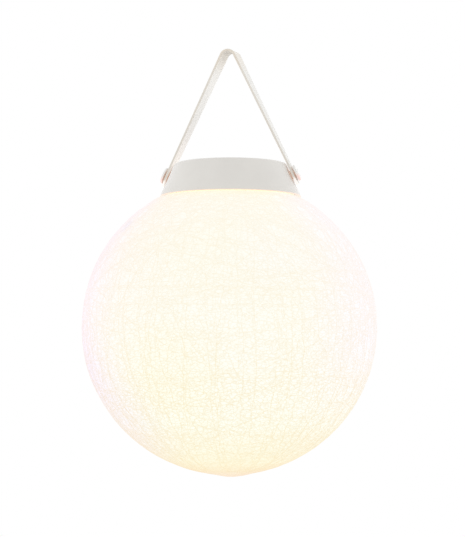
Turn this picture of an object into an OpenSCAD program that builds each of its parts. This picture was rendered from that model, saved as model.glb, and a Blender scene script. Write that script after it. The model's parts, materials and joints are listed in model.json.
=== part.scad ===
// Hanging cotton ball lamp: a wound yarn globe under a tapered collar, carried by a strap on two knobs.
// Millimetres, +Z up. The origin is where the hook bears, inside the top bend of the strap.
// The two knobs stand on the X axis. Heights in the Hidden section count from the collar's lower rim.

/* [Globe] */
// Outer diameter of the wound yarn globe
globe_d = 200; // [180:1:240]
// Thickness of the glued yarn wall
yarn_wall = 2; // [1.2:0.1:3]
// How far the tied yarn stands out at the lower pole
knot_rise = 1.3; // [0.5:0.1:2.5]
// Radius of the rounded knot at the lower pole
knot_r = 12; // [8:0.5:16]

/* [Collar] */
// Outer diameter of the collar at its lower rim
collar_low_d = 95.8; // [92:0.2:100]
// Outer diameter of the collar at its top, before its edge is rounded
collar_top_d = 76; // [75:0.2:80]
// Height of the collar
collar_h = 22.4; // [22:0.2:26]
// Wall of the collar, square to its slope
collar_wall = 2; // [1.6:0.1:2.2]
// Thickness of the collar's deck
deck_t = 2; // [1.6:0.1:2.6]
// Radius of the rounded edge between slope and deck
collar_round = 1.8; // [0.8:0.1:2.4]
// Gap between the globe's cut edge and the collar's rim
rim_gap = 0.4; // [0.2:0.1:1]

/* [Strap] */
// Width of the strap
strap_w = 12; // [9:0.5:14]
// Thickness of the strap
strap_t = 1.5; // [1:0.1:2]
// Height of the hanging point above the swing axis
strap_rise = 84.9; // [70:0.1:120]
// Radius of the top bend, at the middle of the strap
strap_bend_r = 4.8; // [3.5:0.1:9]
// Length of strap below the centre of its hole
strap_tail = 7.7; // [7:0.1:10]
// Length of strap that lies along the collar above its hole
strap_flat = 7.5; // [6:0.1:9]
// Gap between the collar's slope and the strap
strap_gap = 1.1; // [0.9:0.1:1.6]

/* [Knobs] */
// Height of the knobs' axis on the collar's slope
knob_up = 13.8; // [13.4:0.1:14.6]
// Diameter of a knob's head
knob_d = 11.6; // [9:0.1:13]
// Thickness of the head at its rim
knob_rim_t = 1.3; // [1:0.1:2]
// Rise of the head's dome above its rim
knob_dome = 0.7; // [0.3:0.1:1.2]
// Rounding of the head's rim
knob_round = 0.4; // [0.2:0.1:0.5]
// Gap between the strap and the head
knob_gap = 1; // [0.9:0.1:1.5]
// Diameter of the smooth shoulder that the strap swings on
shoulder_d = 4; // [3.6:0.1:5]
// Diameter of the threaded end
thread_d = 3; // [2.5:0.1:3.2]
// Diameter of the raised pad under the shoulder
pad_d = 6.4; // [6:0.1:7]
// Height of the raised pad
pad_h = 0.5; // [0.3:0.1:0.6]
// Play between the shoulder and the hole in the strap
swing_play = 0.3; // [0.25:0.01:0.5]
// Diameter of the washer inside the collar
washer_d = 7; // [6.5:0.1:7]
// Thickness of the washer
washer_t = 0.5; // [0.4:0.1:0.6]
// Width of the hexagon nut across its corners
nut_d = 6.36; // [6:0.01:6.6]
// Thickness of the nut
nut_t = 2.4; // [2:0.1:2.6]

/* [Solar panel] */
// Side of the square solar panel
panel_w = 44; // [38:0.5:44.5]
// Thickness of the panel's adhesive pad
panel_pad_t = 0.4; // [0.3:0.1:0.6]
// Thickness of the panel's backing plate
panel_back_t = 1.4; // [1:0.1:1.6]
// Thickness of the cells
cell_t = 0.2; // [0.2:0.05:0.3]
// Thickness of the clear cover
cover_t = 0.6; // [0.4:0.1:0.8]
// How far the cover lies below the deck
panel_sink = 0.2; // [0:0.1:0.4]
// Number of cells side by side
cell_count = 4; // [2:1:8]
// Gap between two cells
cell_gap = 0.8; // [0.4:0.1:1.5]
// Bare margin of the panel around its cells
cell_margin = 1.5; // [1:0.1:3]
// Wall and floor of the tray that holds the panel
tray_t = 1.6; // [1.2:0.1:1.8]

/* [Button] */
// Diameter of the button's cap
button_d = 8; // [6:0.1:8.4]
// How far the cap stands above the deck
button_rise = 1.4; // [1.3:0.1:2]
// Travel of the button
button_travel = 1.2; // [0.6:0.1:1.3]
// Thickness of the flange that keeps the button in
button_flange_t = 1; // [0.8:0.1:1.2]
// Width of the soft ring around the button
button_ring_w = 0.9; // [0.7:0.1:1]
// Side of the push switch
switch_w = 6; // [5:0.1:6.2]
// Height of the push switch
switch_h = 3; // [2.6:0.1:3.2]
// Diameter of the switch's plunger
plunger_d = 3.2; // [2.5:0.1:3.6]

/* [Circuit board] */
// Width of the circuit board
board_w = 38; // [34:0.5:38.5]
// Thickness of the circuit board
board_t = 1.6; // [1:0.1:1.6]
// How far the board reaches the other way
board_front = 31.8; // [31.5:0.1:32]
// Distance of the board's screws from the middle, along X
board_screw_x = 14; // [12:0.5:15]
// Diameter of the board's screw posts
board_post_d = 5.2; // [4.6:0.1:5.4]
// Diameter of the small screws' shanks
small_screw_d = 2; // [1.8:0.1:2.2]
// Diameter of the small screws' heads
small_head_d = 3.6; // [3.2:0.1:3.8]
// Height of the small screws' heads
small_head_h = 1.2; // [0.9:0.1:1.3]

/* [Battery] */
// Diameter of the rechargeable cell
battery_d = 10.5; // [10:0.1:10.5]
// Length of the cell with its nub
battery_l = 44.5; // [43:0.1:45]
// Diameter of the cell's nub
battery_nub_d = 3.8; // [3:0.1:4]
// Height of the cell's nub
battery_nub_h = 0.8; // [0.5:0.1:1]
// Distance of the cell's axis from the lamp's axis
battery_y = 20.5; // [20.3:0.1:20.6]
// Play around the cell in its compartment
battery_play = 0.4; // [0.3:0.1:0.5]
// Wall of the battery compartment
box_wall = 1.5; // [1.2:0.1:1.6]
// Roof of the battery compartment
box_roof = 1.2; // [1:0.1:1.4]
// Length of the compressed contact spring
spring_l = 4.6; // [3.6:0.1:4.6]
// Thickness of the contact plates
contact_t = 0.4; // [0.3:0.05:0.5]
// Width of the contact plates
contact_w = 8; // [6:0.5:9]
// Thickness of the battery door
door_t = 1.2; // [1:0.1:1.3]
// Thickness of the door's seal
door_seal_t = 0.3; // [0.2:0.1:0.4]
// Width of the ledge that the door's seal lies on
door_ledge = 1; // [0.8:0.1:1]
// Distance of the door's screws from its middle
door_screw_x = 18; // [12:0.5:20]
// Diameter of the door's screw ears
door_ear_d = 6; // [5.4:0.1:6.4]

/* [Base plate] */
// Thickness of the base plate
base_t = 2.4; // [2.2:0.1:3]
// Wall of the round spigot that carries the globe
spigot_wall = 2; // [1.6:0.1:2.2]
// How far the spigot reaches below the collar's rim
spigot_drop = 8; // [6:0.1:10]
// Thickness of the flange around the spigot
flange_t = 1.6; // [1.2:0.1:1.8]
// Thickness of the seal between base plate and collar
seal_t = 0.8; // [0.6:0.1:1]
// Thickness of the ledge inside the collar
ledge_t = 1.2; // [0.8:0.1:1.3]
// Diameter of the base screws' shanks
base_screw_d = 2.5; // [2:0.1:2.6]
// Diameter of the base screws' heads
base_head_d = 4.6; // [4:0.1:5]
// Height of the base screws' heads
base_head_h = 1.6; // [1.2:0.1:1.8]
// Diameter of the base screws' posts
base_post_d = 6; // [5.4:0.1:6]
// How deep a base screw bites into its post
base_screw_bite = 8; // [6:0.5:10]

/* [Light] */
// Outer diameter of the frosted dome
dome_d = 21.8; // [18:0.1:22]
// Wall of the frosted dome
dome_wall = 1.2; // [1:0.1:1.5]
// Straight height of the dome before its round end
dome_skirt = 4; // [3:0.1:6]
// Height of the rim that holds the dome
dome_rim_h = 3; // [2:0.1:4]
// Wall of the rim that holds the dome
dome_rim_wall = 1.4; // [1:0.1:1.5]
// Thickness of the light board
light_board_t = 1; // [0.8:0.1:1.6]
// Number of light chips
chip_count = 3; // [1:1:6]
// Length of a light chip
chip_l = 3.5; // [2:0.1:3.5]
// Width of a light chip
chip_w = 2.8; // [1.5:0.1:2.8]
// Height of a light chip
chip_h = 0.8; // [0.5:0.1:1.2]
// Distance of the chips from the middle of the light board
chip_r = 4; // [3.6:0.1:4.4]
// Distance of the light board's screws from its middle
light_screw_r = 7; // [6.8:0.1:7.2]
// Diameter of the light board's screws
light_screw_d = 1.6; // [1.4:0.1:1.8]
// Diameter of the light board's screw heads
light_head_d = 2.8; // [2.4:0.1:2.8]
// Height of the light board's screw heads
light_head_h = 0.9; // [0.7:0.1:1]
// Diameter of an insulated lead
lead_d = 1.2; // [0.9:0.1:1.5]
// Distance of a pair of leads from each other
lead_pitch = 5; // [3:0.1:6]

/* [Bayonet] */
// Wall of the neck ring inside the globe
ring_wall = 1.8; // [1.5:0.1:1.8]
// How far the neck ring stands above the collar's rim
ring_up = 4.4; // [4:0.1:4.6]
// How far the neck ring reaches below the collar's rim
ring_down = 6; // [5:0.1:8]
// Radial play between neck ring and spigot
ring_play = 0.4; // [0.3:0.05:0.5]
// Outer radius of the neck ring's skirt under the yarn
skirt_r = 52; // [48:0.5:60]
// Thickness of the neck ring's skirt
skirt_t = 1.6; // [1:0.1:2]
// Number of bayonet lugs
lug_count = 3; // [2:1:4]
// Angle that a lug spans
lug_angle = 12; // [8:1:14]
// Height of a lug
lug_h = 2.2; // [1.6:0.1:2.6]
// How far a lug's top lies below the collar's rim
lug_down = 0.2; // [0.1:0.1:0.6]
// Turn from locked to free
twist_angle = 22; // [15:1:30]
// Play between a lug and its slot
lug_play = 0.3; // [0.2:0.1:0.4]

/* [Hidden] */
$fn = 96;
round_steps = 8;

// Clearances that every moulded piece shares
fit_gap = 0.3;
slide_gap = 0.1;
thread_gap = 0.05;
seat_cut = 0.1;
cut = 1;

// Collar
rim_r = collar_low_d / 2;
top_r = collar_top_d / 2;
slope = atan((rim_r - top_r) / collar_h);
wall_across = collar_wall / cos(slope);
deck_under = collar_h - deck_t;

// Globe
globe_r = globe_d / 2;
globe_z = -sqrt(globe_r * globe_r - rim_r * rim_r) - rim_gap;
pole_z = globe_z - globe_r - knot_rise;

// Knobs and swing axis
knob_x = slope_r(knob_up);
strap_off = strap_gap + strap_t / 2;
hinge_x = knob_x + strap_off * cos(slope);
hinge_z = knob_up + strap_off * sin(slope);
head_off = strap_gap + strap_t + knob_gap;
hole_d = shoulder_d + 2 * swing_play;
knob_r = knob_d / 2;
knob_dome_r = (knob_r * knob_r + knob_dome * knob_dome) / (2 * knob_dome);
seat_off = seat_cut - collar_wall;
washer_off = seat_off - washer_t;
nut_off = washer_off - nut_t;
thread_tail = 0.6;
thread_end = nut_off - thread_tail;

// Strap's route in its side view, for the leg on +X
hang_z = hinge_z + strap_rise;
bend_z = hang_z + strap_t / 2 - strap_bend_r;
tab_way = [sin(slope), -cos(slope)];
tab_end = [hinge_x, hinge_z] + strap_tail * tab_way;
flat_end = [hinge_x, hinge_z] - strap_flat * tab_way;
to_bend = [flat_end[0], bend_z - flat_end[1]];
leg_tilt = atan2(to_bend[0], to_bend[1]) - asin(strap_bend_r / norm(to_bend));
leg_end = beside([0, bend_z], strap_bend_r, leg_tilt);

// Solar panel and its tray
recess_w = panel_w + 2 * fit_gap;
panel_stack = panel_pad_t + panel_back_t + cell_t + cover_t;
recess_z = collar_h - panel_sink - panel_stack;
tray_z = recess_z - tray_t;
tray_w = recess_w + 2 * tray_t;
panel_back_z = recess_z + panel_pad_t;
cell_z = panel_back_z + panel_back_t;
cover_z = cell_z + cell_t;
cell_field = panel_w - 2 * cell_margin;
cell_w = (cell_field - (cell_count - 1) * cell_gap) / cell_count;
panel_lead_y = -10;

// Button and switch
button_hole_d = button_d + 2 * (button_ring_w + slide_gap);
button_lip = 0.6;
button_edge = 0.4;
button_edge_z = collar_h + button_rise - button_edge;
button_flange_d = button_hole_d + 2 * button_lip;
flange_top = deck_under - fit_gap;
flange_low = flange_top - button_flange_t;
stem_lip = 0.5;
stem_d = plunger_d + 2 * stem_lip;
stem_drop = 0.2;
button_y = (tray_w / 2 + collar_inner_r(deck_under)) / 2;
board_top = flange_low - button_travel - fit_gap - switch_h;
plunger_top = flange_low - stem_drop;
plunger_bore_z = board_top + fit_gap;
plunger_z = plunger_bore_z + button_travel + fit_gap;

// Circuit board
board_z = board_top - board_t;
board_edge = 0.1;
board_back = button_y + switch_w / 2 + board_edge;
board_len = board_back + board_front;
board_mid = (board_back - board_front) / 2;
small_hole_d = small_screw_d + 2 * thread_gap;
small_bite = 3;
head_room = 0.2;
board_screw_y = battery_y + battery_d / 2 + battery_play + box_wall + small_head_d / 2 + head_room;

// Parts on the board: the controller, the inductor and the capacitor
part_h = 1.2;
part_x = 6;
part_y = 4;
controller_w = 5;
inductor_w = 6;
capacitor_d = 4;
capacitor_y = -18;

// Battery compartment
board_gap = 0.6;
box_top = board_z - board_gap;
battery_r = battery_d / 2;
box_roof_z = box_top - box_roof;
battery_z = box_roof_z - fit_gap - battery_r;
base_top = battery_z - battery_r - battery_play;
base_low = base_top - base_t;
base_mid = base_top - base_t / 2;
box_w = battery_d + 2 * battery_play;
box_l = battery_l + spring_l + slide_gap + 2 * contact_t;
plus_x = -box_l / 2 + contact_t;
minus_x = box_l / 2 - contact_t;
battery_start = plus_x + slide_gap;
spring_steps = 4;
spring_taper = 0.15;
contact_tab_w = 2;
contact_slot_w = 3;
door_l = box_l + 2 * door_ledge;
door_margin = 0.75;
door_w = box_w + 2 * (door_ledge + door_margin);
door_low = base_low;
door_top = door_low + door_t;
door_recess_z = door_top + door_seal_t;
door_depth = door_recess_z - base_low;
door_pad_gap = 1;
door_pad_l = box_l - 2 * door_pad_gap;
door_pad_w = box_w - 2 * door_pad_gap;
door_pad_top = base_top + slide_gap;
door_ear_lap = 1;
door_ear_y = battery_y - door_w / 2 - door_ear_d / 2 + door_ear_lap;
door_post_h = 4;
door_screw_bite = base_t + 2;
hole_room = 1;
post_d = door_ear_d - 1;

// Neck ring, spigot and base plate
ring_side_gap = 0.5;
ring_or = collar_inner_r(ring_up) - ring_side_gap;
ring_ir = ring_or - ring_wall;
spigot_or = ring_ir - ring_play;
spigot_ir = spigot_or - spigot_wall;
base_head_gap = 1.27;
base_screw_r = spigot_ir - base_head_d / 2 - base_head_gap;
base_post_gap = 1.2;
base_post_y = battery_y - box_w / 2 - box_wall - base_post_gap - base_post_d / 2;
base_screw_turn = asin(base_post_y / base_screw_r);
base_screw_turns = [base_screw_turn, 180 - base_screw_turn, 270];
flange_z = ring_up + 2 * fit_gap;
seal_z = flange_z + flange_t;
ledge_z = seal_z + seal_t;
flange_r = collar_inner_r(seal_z) - fit_gap;
seal_r = flange_r - fit_gap;
ledge_ir = spigot_ir;
lug_top = -lug_down;
lug_low = lug_top - lug_h;
lug_or = ring_or - fit_gap;
slot_top = lug_top + lug_play;
slot_low = lug_low - lug_play;
lug_side = asin(lug_play / spigot_or);

// Light
dome_r = dome_d / 2;
dome_rim_r = dome_r + slide_gap;
dome_rim_z = base_low - dome_rim_h;
light_board_r = dome_r - dome_wall - 2 * slide_gap;
light_board_z = base_low - light_board_t;
light_post_h = 3;
chip_turn = 90;
light_lead_y = -6;
light_screw_bite = base_t + light_post_h / 2;
light_screw_l = light_board_t + light_screw_bite;
part_lift = [0, 0, -hang_z];

// Outer radius of the collar's slope at a height
function slope_r(z) = rim_r - z * tan(slope);

// Inner radius of the collar's wall at a height
function collar_inner_r(z) = slope_r(z) - wall_across;

// Points along a circular arc
function arc(x, y, r, from, to, steps) = [
    for (i = [0:steps])
        let (a = from + (to - from) * i / steps)
        [x + r * cos(a), y + r * sin(a)]
];

// A point of the side view, an amount away from another one in the direction of an angle
function beside(point, amount, angle) = point + amount * [cos(angle), sin(angle)];

// The same points on the other side of Z, in reverse order
function mirrored(points) = [for (i = [len(points) - 1:-1:0]) [-points[i][0], points[i][1]]];

// Places children on the collar's slope at a knob, with +Z along the knob's axis
module at_knob(side) {
    translate([side * knob_x, 0, knob_up])
        rotate([0, side * (90 - slope), 0])
            children();
}

// Places children at each of the board's screws
module at_board_screws() {
    for (x = [-board_screw_x, board_screw_x], y = [-board_screw_y, board_screw_y])
        translate([x, y, 0])
            children();
}

// Places children at each of the base plate's screws
module at_base_screws() {
    for (turn = base_screw_turns)
        rotate([0, 0, turn])
            translate([base_screw_r, 0, 0])
                children();
}

// Places children at each of the battery door's screws
module at_door_screws() {
    for (x = [-door_screw_x, door_screw_x])
        translate([x, door_ear_y, 0])
            children();
}

// Places children at each of the light board's screws
module at_light_screws() {
    for (x = [-light_screw_r, light_screw_r])
        translate([x, 0, 0])
            children();
}

// Places children at each of a pair of leads
module at_leads(y) {
    for (x = [-lead_pitch / 2, lead_pitch / 2])
        translate([x, y, 0])
            children();
}

// A box centred on X and Y that stands on z
module slab(w, l, z, h) {
    translate([-w / 2, -l / 2, z])
        cube([w, l, h]);
}

// A disc that stands on z
module disc(d, z, h) {
    translate([0, 0, z])
        cylinder(d = d, h = h);
}

// A ring sector about Z
module ring_sector(inner, outer, z, h, angle) {
    rotate_extrude(angle = angle)
        translate([inner, z])
            square([outer - inner, h]);
}

// A pan-headed screw: its head hangs below z and its shank goes up
module screw(head_d, head_h, shank_d, z, bite) {
    disc(head_d, z - head_h, head_h);
    disc(shank_d, z, bite);
}

// All that one face of the strap goes round in its side view, down to an end on each side
module strap_outline(off, ends) {
    leg = concat(ends, [beside(flat_end, off, slope), beside(leg_end, off, leg_tilt)]);
    translate([0, bend_z])
        circle(r = strap_bend_r + off);
    polygon(concat(leg, mirrored(leg)));
}

// What is cut away to leave a round end
module strap_corners() {
    end_x = strap_tail - strap_w / 2;
    difference() {
        translate([end_x, -strap_w / 2 - cut])
            square([strap_w / 2 + cut, strap_w + 2 * cut]);
        translate([end_x, 0])
            circle(d = strap_w);
    }
}

module strap() {
    half = strap_t / 2;
    inner_end = beside(tab_end, -half, slope);
    outer_end = beside(tab_end, half, slope);
    color([0.93, 0.92, 0.90])
        difference() {
            rotate([90, 0, 0])
                linear_extrude(strap_w, center = true)
                    difference() {
                        strap_outline(half, [inner_end, outer_end]);
                        strap_outline(-half, [inner_end + cut * tab_way]);
                    }
            for (side = [-1, 1])
                at_knob(side)
                    translate([0, 0, strap_gap - cut]) {
                        linear_extrude(strap_t + 2 * cut)
                            scale([side, 1])
                                strap_corners();
                        cylinder(d = hole_d, h = strap_t + 2 * cut);
                    }
        }
}

module collar_profile() {
    turn = 90 - slope;
    edge_x = top_r - collar_round * tan(turn / 2);
    polygon(concat(
        [[0, 0], [rim_r, 0]],
        arc(edge_x, collar_h - collar_round, collar_round, slope, 90, round_steps),
        [[0, collar_h]]
    ));
}

// The space inside the collar's wall, up to the deck
module hollow_cone(h) {
    translate([0, 0, -cut])
        cylinder(r1 = collar_inner_r(-cut), r2 = collar_inner_r(deck_under), h = h);
}

// The room inside the collar's wall, with a clearance, that a flat piece may fill
module inside_collar(z, h) {
    disc(2 * (collar_inner_r(z + h) - fit_gap), z - cut, h + 2 * cut);
}

module collar() {
    color([0.87, 0.86, 0.85])
        difference() {
            union() {
                difference() {
                    rotate_extrude()
                        collar_profile();
                    hollow_cone(deck_under + cut);
                }
                slab(tray_w, tray_w, tray_z, deck_under - tray_z + deck_t / 2);
                at_base_screws()
                    disc(base_post_d, base_top, deck_under - base_top + deck_t / 2);
                at_board_screws()
                    disc(board_post_d, board_top, deck_under - board_top + deck_t / 2);
                intersection() {
                    difference() {
                        disc(2 * rim_r, ledge_z, ledge_t);
                        disc(2 * ledge_ir, ledge_z - cut, ledge_t + 2 * cut);
                    }
                    rotate_extrude()
                        collar_profile();
                }
                for (side = [-1, 1])
                    at_knob(side)
                        translate([0, 0, -collar_wall / 2])
                            cylinder(d = pad_d, h = collar_wall / 2 + pad_h);
            }
            slab(recess_w, recess_w, recess_z, panel_stack + panel_sink + cut);
            at_leads(panel_lead_y)
                disc(lead_d + 2 * fit_gap, tray_z - cut, tray_t + 2 * cut);
            translate([0, button_y, 0])
                disc(button_hole_d, deck_under - cut, deck_t + 2 * cut);
            at_base_screws()
                disc(base_screw_d + 2 * thread_gap, base_top - cut, base_screw_bite + fit_gap + cut);
            at_board_screws()
                disc(small_hole_d, board_top - cut, small_bite + fit_gap + cut);
            for (side = [-1, 1])
                at_knob(side) {
                    disc(thread_d + 2 * thread_gap, -collar_wall - cut, collar_wall + pad_h + 2 * cut);
                    disc(washer_d + 2 * fit_gap, nut_off - cut, seat_off - nut_off + cut);
                }
        }
}

// A knob: shoulder on the collar's pad, threaded end through the wall, domed head outside the strap
module knob(side) {
    color([0.90, 0.89, 0.88])
        at_knob(side) {
            translate([0, 0, thread_end])
                cylinder(d = thread_d, h = pad_h - thread_end);
            translate([0, 0, pad_h])
                cylinder(d = shoulder_d, h = head_off - pad_h);
            translate([0, 0, head_off])
                rotate_extrude()
                    knob_profile();
        }
}

module knob_profile() {
    dome_edge = knob_r - knob_round;
    dome_low = knob_rim_t + knob_dome - knob_dome_r;
    dome_turn = acos(dome_edge / knob_dome_r);
    polygon(concat(
        [[0, 0]],
        arc(dome_edge, knob_round, knob_round, -90, 0, round_steps),
        arc(0, dome_low, knob_dome_r, dome_turn, 90, round_steps)
    ));
}

module knob_left() { knob(-1); }
module knob_right() { knob(1); }

module knob_washers() {
    color("silver")
        for (side = [-1, 1])
            at_knob(side)
                translate([0, 0, washer_off])
                    difference() {
                        cylinder(d = washer_d, h = washer_t);
                        disc(thread_d + 2 * thread_gap, -cut, washer_t + 2 * cut);
                    }
}

module knob_nuts() {
    color("silver")
        for (side = [-1, 1])
            at_knob(side)
                translate([0, 0, nut_off])
                    difference() {
                        cylinder(d = nut_d, h = nut_t, $fn = 6);
                        disc(thread_d + 2 * thread_gap, -cut, nut_t + 2 * cut);
                    }
}

module panel_pad() {
    color("white")
        difference() {
            slab(panel_w, panel_w, recess_z, panel_pad_t);
            at_leads(panel_lead_y)
                disc(lead_d + 2 * fit_gap, recess_z - cut, panel_pad_t + 2 * cut);
        }
}

module panel_back() {
    color([0.13, 0.14, 0.16])
        slab(panel_w, panel_w, panel_back_z, panel_back_t);
}

module solar_cells() {
    color([0.05, 0.07, 0.16])
        for (i = [0:cell_count - 1])
            translate([(i - (cell_count - 1) / 2) * (cell_w + cell_gap), 0, 0])
                slab(cell_w, cell_field, cell_z, cell_t);
}

module panel_cover() {
    color([0.75, 0.80, 0.88])
        slab(panel_w, panel_w, cover_z, cover_t);
}

module panel_leads() {
    color([0.70, 0.10, 0.08])
        at_leads(panel_lead_y)
            disc(lead_d, board_top, panel_back_z - board_top);
}

module circuit_board() {
    color([0.10, 0.36, 0.20])
        difference() {
            intersection() {
                translate([0, board_mid, 0])
                    slab(board_w, board_len, board_z, board_t);
                inside_collar(board_z, board_t);
            }
            at_board_screws()
                disc(small_hole_d, board_z - cut, board_t + 2 * cut);
        }
}

// Controller, inductor and capacitor on the board's upper face, under the panel's tray
module board_parts() {
    color([0.08, 0.08, 0.09]) {
        translate([-part_x, part_y, 0])
            slab(controller_w, inductor_w, board_top, part_h);
        translate([part_x, part_y, 0])
            slab(inductor_w, inductor_w, board_top, 2 * part_h);
        translate([-part_x, capacitor_y, 0])
            disc(capacitor_d, board_top, 2 * part_h);
    }
}

module board_screws() {
    color("silver")
        at_board_screws()
            screw(small_head_d, small_head_h, small_screw_d, board_z, board_t + small_bite);
}

module push_switch() {
    color([0.12, 0.12, 0.13])
        translate([0, button_y, 0])
            difference() {
                slab(switch_w, switch_w, board_top, switch_h);
                disc(plunger_d + 2 * slide_gap, plunger_bore_z, switch_h + cut);
            }
}

module switch_plunger() {
    color([0.85, 0.85, 0.82])
        translate([0, button_y, 0])
            disc(plunger_d, plunger_z, plunger_top - plunger_z);
}

module power_button() {
    color([0.80, 0.79, 0.77])
        union() {
            translate([0, button_y, 0]) {
                disc(button_d, flange_top, button_edge_z - flange_top);
                translate([0, 0, button_edge_z])
                    cylinder(d1 = button_d, d2 = button_d - 2 * button_edge, h = button_edge);
                disc(stem_d, plunger_top, stem_drop);
            }
            intersection() {
                translate([0, button_y, 0])
                    disc(button_flange_d, flange_low, button_flange_t);
                inside_collar(flange_low, button_flange_t);
                translate([-rim_r, tray_w / 2 + fit_gap, flange_low - cut])
                    cube([2 * rim_r, rim_r, button_flange_t + 2 * cut]);
            }
        }
}

module button_ring() {
    color([0.55, 0.55, 0.55])
        translate([0, button_y, 0])
            difference() {
                disc(button_hole_d, deck_under, deck_t);
                disc(button_d + 2 * slide_gap, deck_under - cut, deck_t + 2 * cut);
            }
}

module base_plate() {
    color([0.90, 0.90, 0.89])
        difference() {
            union() {
                disc(2 * spigot_ir + spigot_wall, base_low, base_t);
                difference() {
                    union() {
                        disc(2 * spigot_or, -spigot_drop, seal_z + spigot_drop);
                        disc(2 * flange_r, flange_z, flange_t);
                    }
                    disc(2 * spigot_ir, -spigot_drop - cut, seal_z + spigot_drop + 2 * cut);
                }
                for (i = [0:lug_count - 1])
                    rotate([0, 0, i * 360 / lug_count - lug_angle / 2])
                        ring_sector(spigot_ir + spigot_wall / 2, lug_or, lug_low, lug_h, lug_angle);
                translate([0, battery_y, 0])
                    slab(box_l + 2 * box_wall, box_w + 2 * box_wall, base_mid, box_top - base_mid);
                difference() {
                    disc(2 * (dome_rim_r + dome_rim_wall), dome_rim_z, base_mid - dome_rim_z);
                    disc(2 * dome_rim_r, dome_rim_z - cut, dome_rim_h + cut);
                }
                at_door_screws()
                    disc(post_d, base_mid, base_top - base_mid + door_post_h);
                at_light_screws()
                    disc(post_d, base_mid, base_top - base_mid + light_post_h);
            }
            translate([0, battery_y, 0]) {
                slab(box_l, box_w, base_low - cut, box_roof_z - base_low + cut);
                slab(door_l + 2 * fit_gap, door_w + 2 * fit_gap, base_low - cut, door_depth + cut);
                for (x = [-box_l / 2 + contact_t, box_l / 2 - contact_t])
                    translate([x, 0, 0])
                        slab(2 * contact_t, contact_slot_w, box_roof_z - cut, box_roof + 2 * cut);
            }
            at_door_screws() {
                disc(door_ear_d + 2 * fit_gap, base_low - cut, door_depth + cut);
                disc(small_hole_d, base_low - cut, door_screw_bite + hole_room + cut);
            }
            at_light_screws()
                disc(light_screw_d + 2 * thread_gap, base_low - cut, light_screw_bite + fit_gap + cut);
            at_base_screws()
                disc(base_screw_d + 2 * fit_gap, base_low - cut, base_t + 2 * cut);
            at_leads(light_lead_y)
                disc(lead_d + 2 * fit_gap, base_low - cut, base_t + 2 * cut);
        }
}

module base_seal() {
    color([0.25, 0.25, 0.26])
        difference() {
            disc(2 * seal_r, seal_z, seal_t);
            disc(2 * (spigot_ir + fit_gap), seal_z - cut, seal_t + 2 * cut);
        }
}

module base_screws() {
    color("silver")
        at_base_screws()
            screw(base_head_d, base_head_h, base_screw_d, base_low, base_t + base_screw_bite);
}

module battery() {
    color([0.20, 0.45, 0.25])
        translate([battery_start, battery_y, battery_z])
            rotate([0, 90, 0]) {
                cylinder(d = battery_nub_d, h = battery_nub_h);
                translate([0, 0, battery_nub_h])
                    cylinder(d = battery_d, h = battery_l - battery_nub_h);
            }
}

// A contact plate whose tab goes up through the roof to the board
module contact_plate(x) {
    translate([x, battery_y, 0]) {
        slab(contact_t, contact_w, base_top, box_roof_z - base_top);
        slab(contact_t, contact_tab_w, box_roof_z, board_z - box_roof_z);
    }
}

module battery_contact_plus() {
    color("silver")
        contact_plate(-box_l / 2 + contact_t / 2);
}

// The compressed spring narrows towards the cell
module battery_contact_minus() {
    color("silver") {
        contact_plate(box_l / 2 - contact_t / 2);
        translate([minus_x, battery_y, battery_z])
            rotate([0, -90, 0])
                for (i = [0:spring_steps - 1])
                    translate([0, 0, i * spring_l / spring_steps])
                        cylinder(d = contact_w * (1 - spring_taper * i), h = spring_l / spring_steps);
    }
}

module battery_door() {
    color([0.90, 0.90, 0.89])
        difference() {
            union() {
                translate([0, battery_y, 0]) {
                    slab(door_l, door_w, door_low, door_t);
                    slab(door_pad_l, door_pad_w, door_low, door_pad_top - door_low);
                }
                at_door_screws()
                    disc(door_ear_d, door_low, door_t);
            }
            at_door_screws()
                disc(small_hole_d, door_low - cut, door_t + 2 * cut);
        }
}

module battery_door_seal() {
    color([0.25, 0.25, 0.26])
        translate([0, battery_y, 0])
            difference() {
                slab(door_l, box_w + 2 * door_ledge, door_top, door_seal_t);
                slab(box_l, box_w, door_top - cut, door_seal_t + 2 * cut);
            }
}

module battery_door_screws() {
    color("silver")
        at_door_screws()
            screw(small_head_d, small_head_h, small_screw_d, base_low, door_screw_bite);
}

module light_board() {
    color([0.92, 0.92, 0.90])
        difference() {
            disc(2 * light_board_r, light_board_z, light_board_t);
            at_light_screws()
                disc(light_screw_d + 2 * thread_gap, light_board_z - cut, light_board_t + 2 * cut);
        }
}

module light_chips() {
    color([0.98, 0.86, 0.45])
        for (i = [0:chip_count - 1])
            rotate([0, 0, chip_turn + i * 360 / chip_count])
                translate([chip_r, 0, 0])
                    slab(chip_w, chip_l, light_board_z - chip_h, chip_h);
}

module light_board_screws() {
    color("silver")
        at_light_screws()
            screw(light_head_d, light_head_h, light_screw_d, light_board_z, light_screw_l);
}

module light_leads() {
    color([0.70, 0.10, 0.08])
        at_leads(light_lead_y)
            disc(lead_d, base_low, board_z - base_low);
}

module dome_profile(r) {
    translate([0, -dome_skirt])
        square([r, dome_skirt]);
    intersection() {
        translate([0, -dome_skirt])
            circle(r = r);
        translate([0, -dome_skirt - r])
            square([r, r]);
    }
}

module light_dome() {
    color([0.97, 0.96, 0.92])
        translate([0, 0, base_low])
            rotate_extrude()
                difference() {
                    dome_profile(dome_r);
                    translate([-cut, -dome_skirt])
                        square([dome_r - dome_wall + cut, dome_skirt + cut]);
                    translate([0, -dome_skirt])
                        circle(r = dome_r - dome_wall);
                }
}

// The part of a globe shell that lies right of the axis and between two heights
module shell_profile(outer, inner, from_r, low, high) {
    intersection() {
        translate([0, globe_z])
            difference() {
                circle(r = outer);
                circle(r = inner);
            }
        translate([from_r, low])
            square([outer, high - low]);
    }
}

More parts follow.
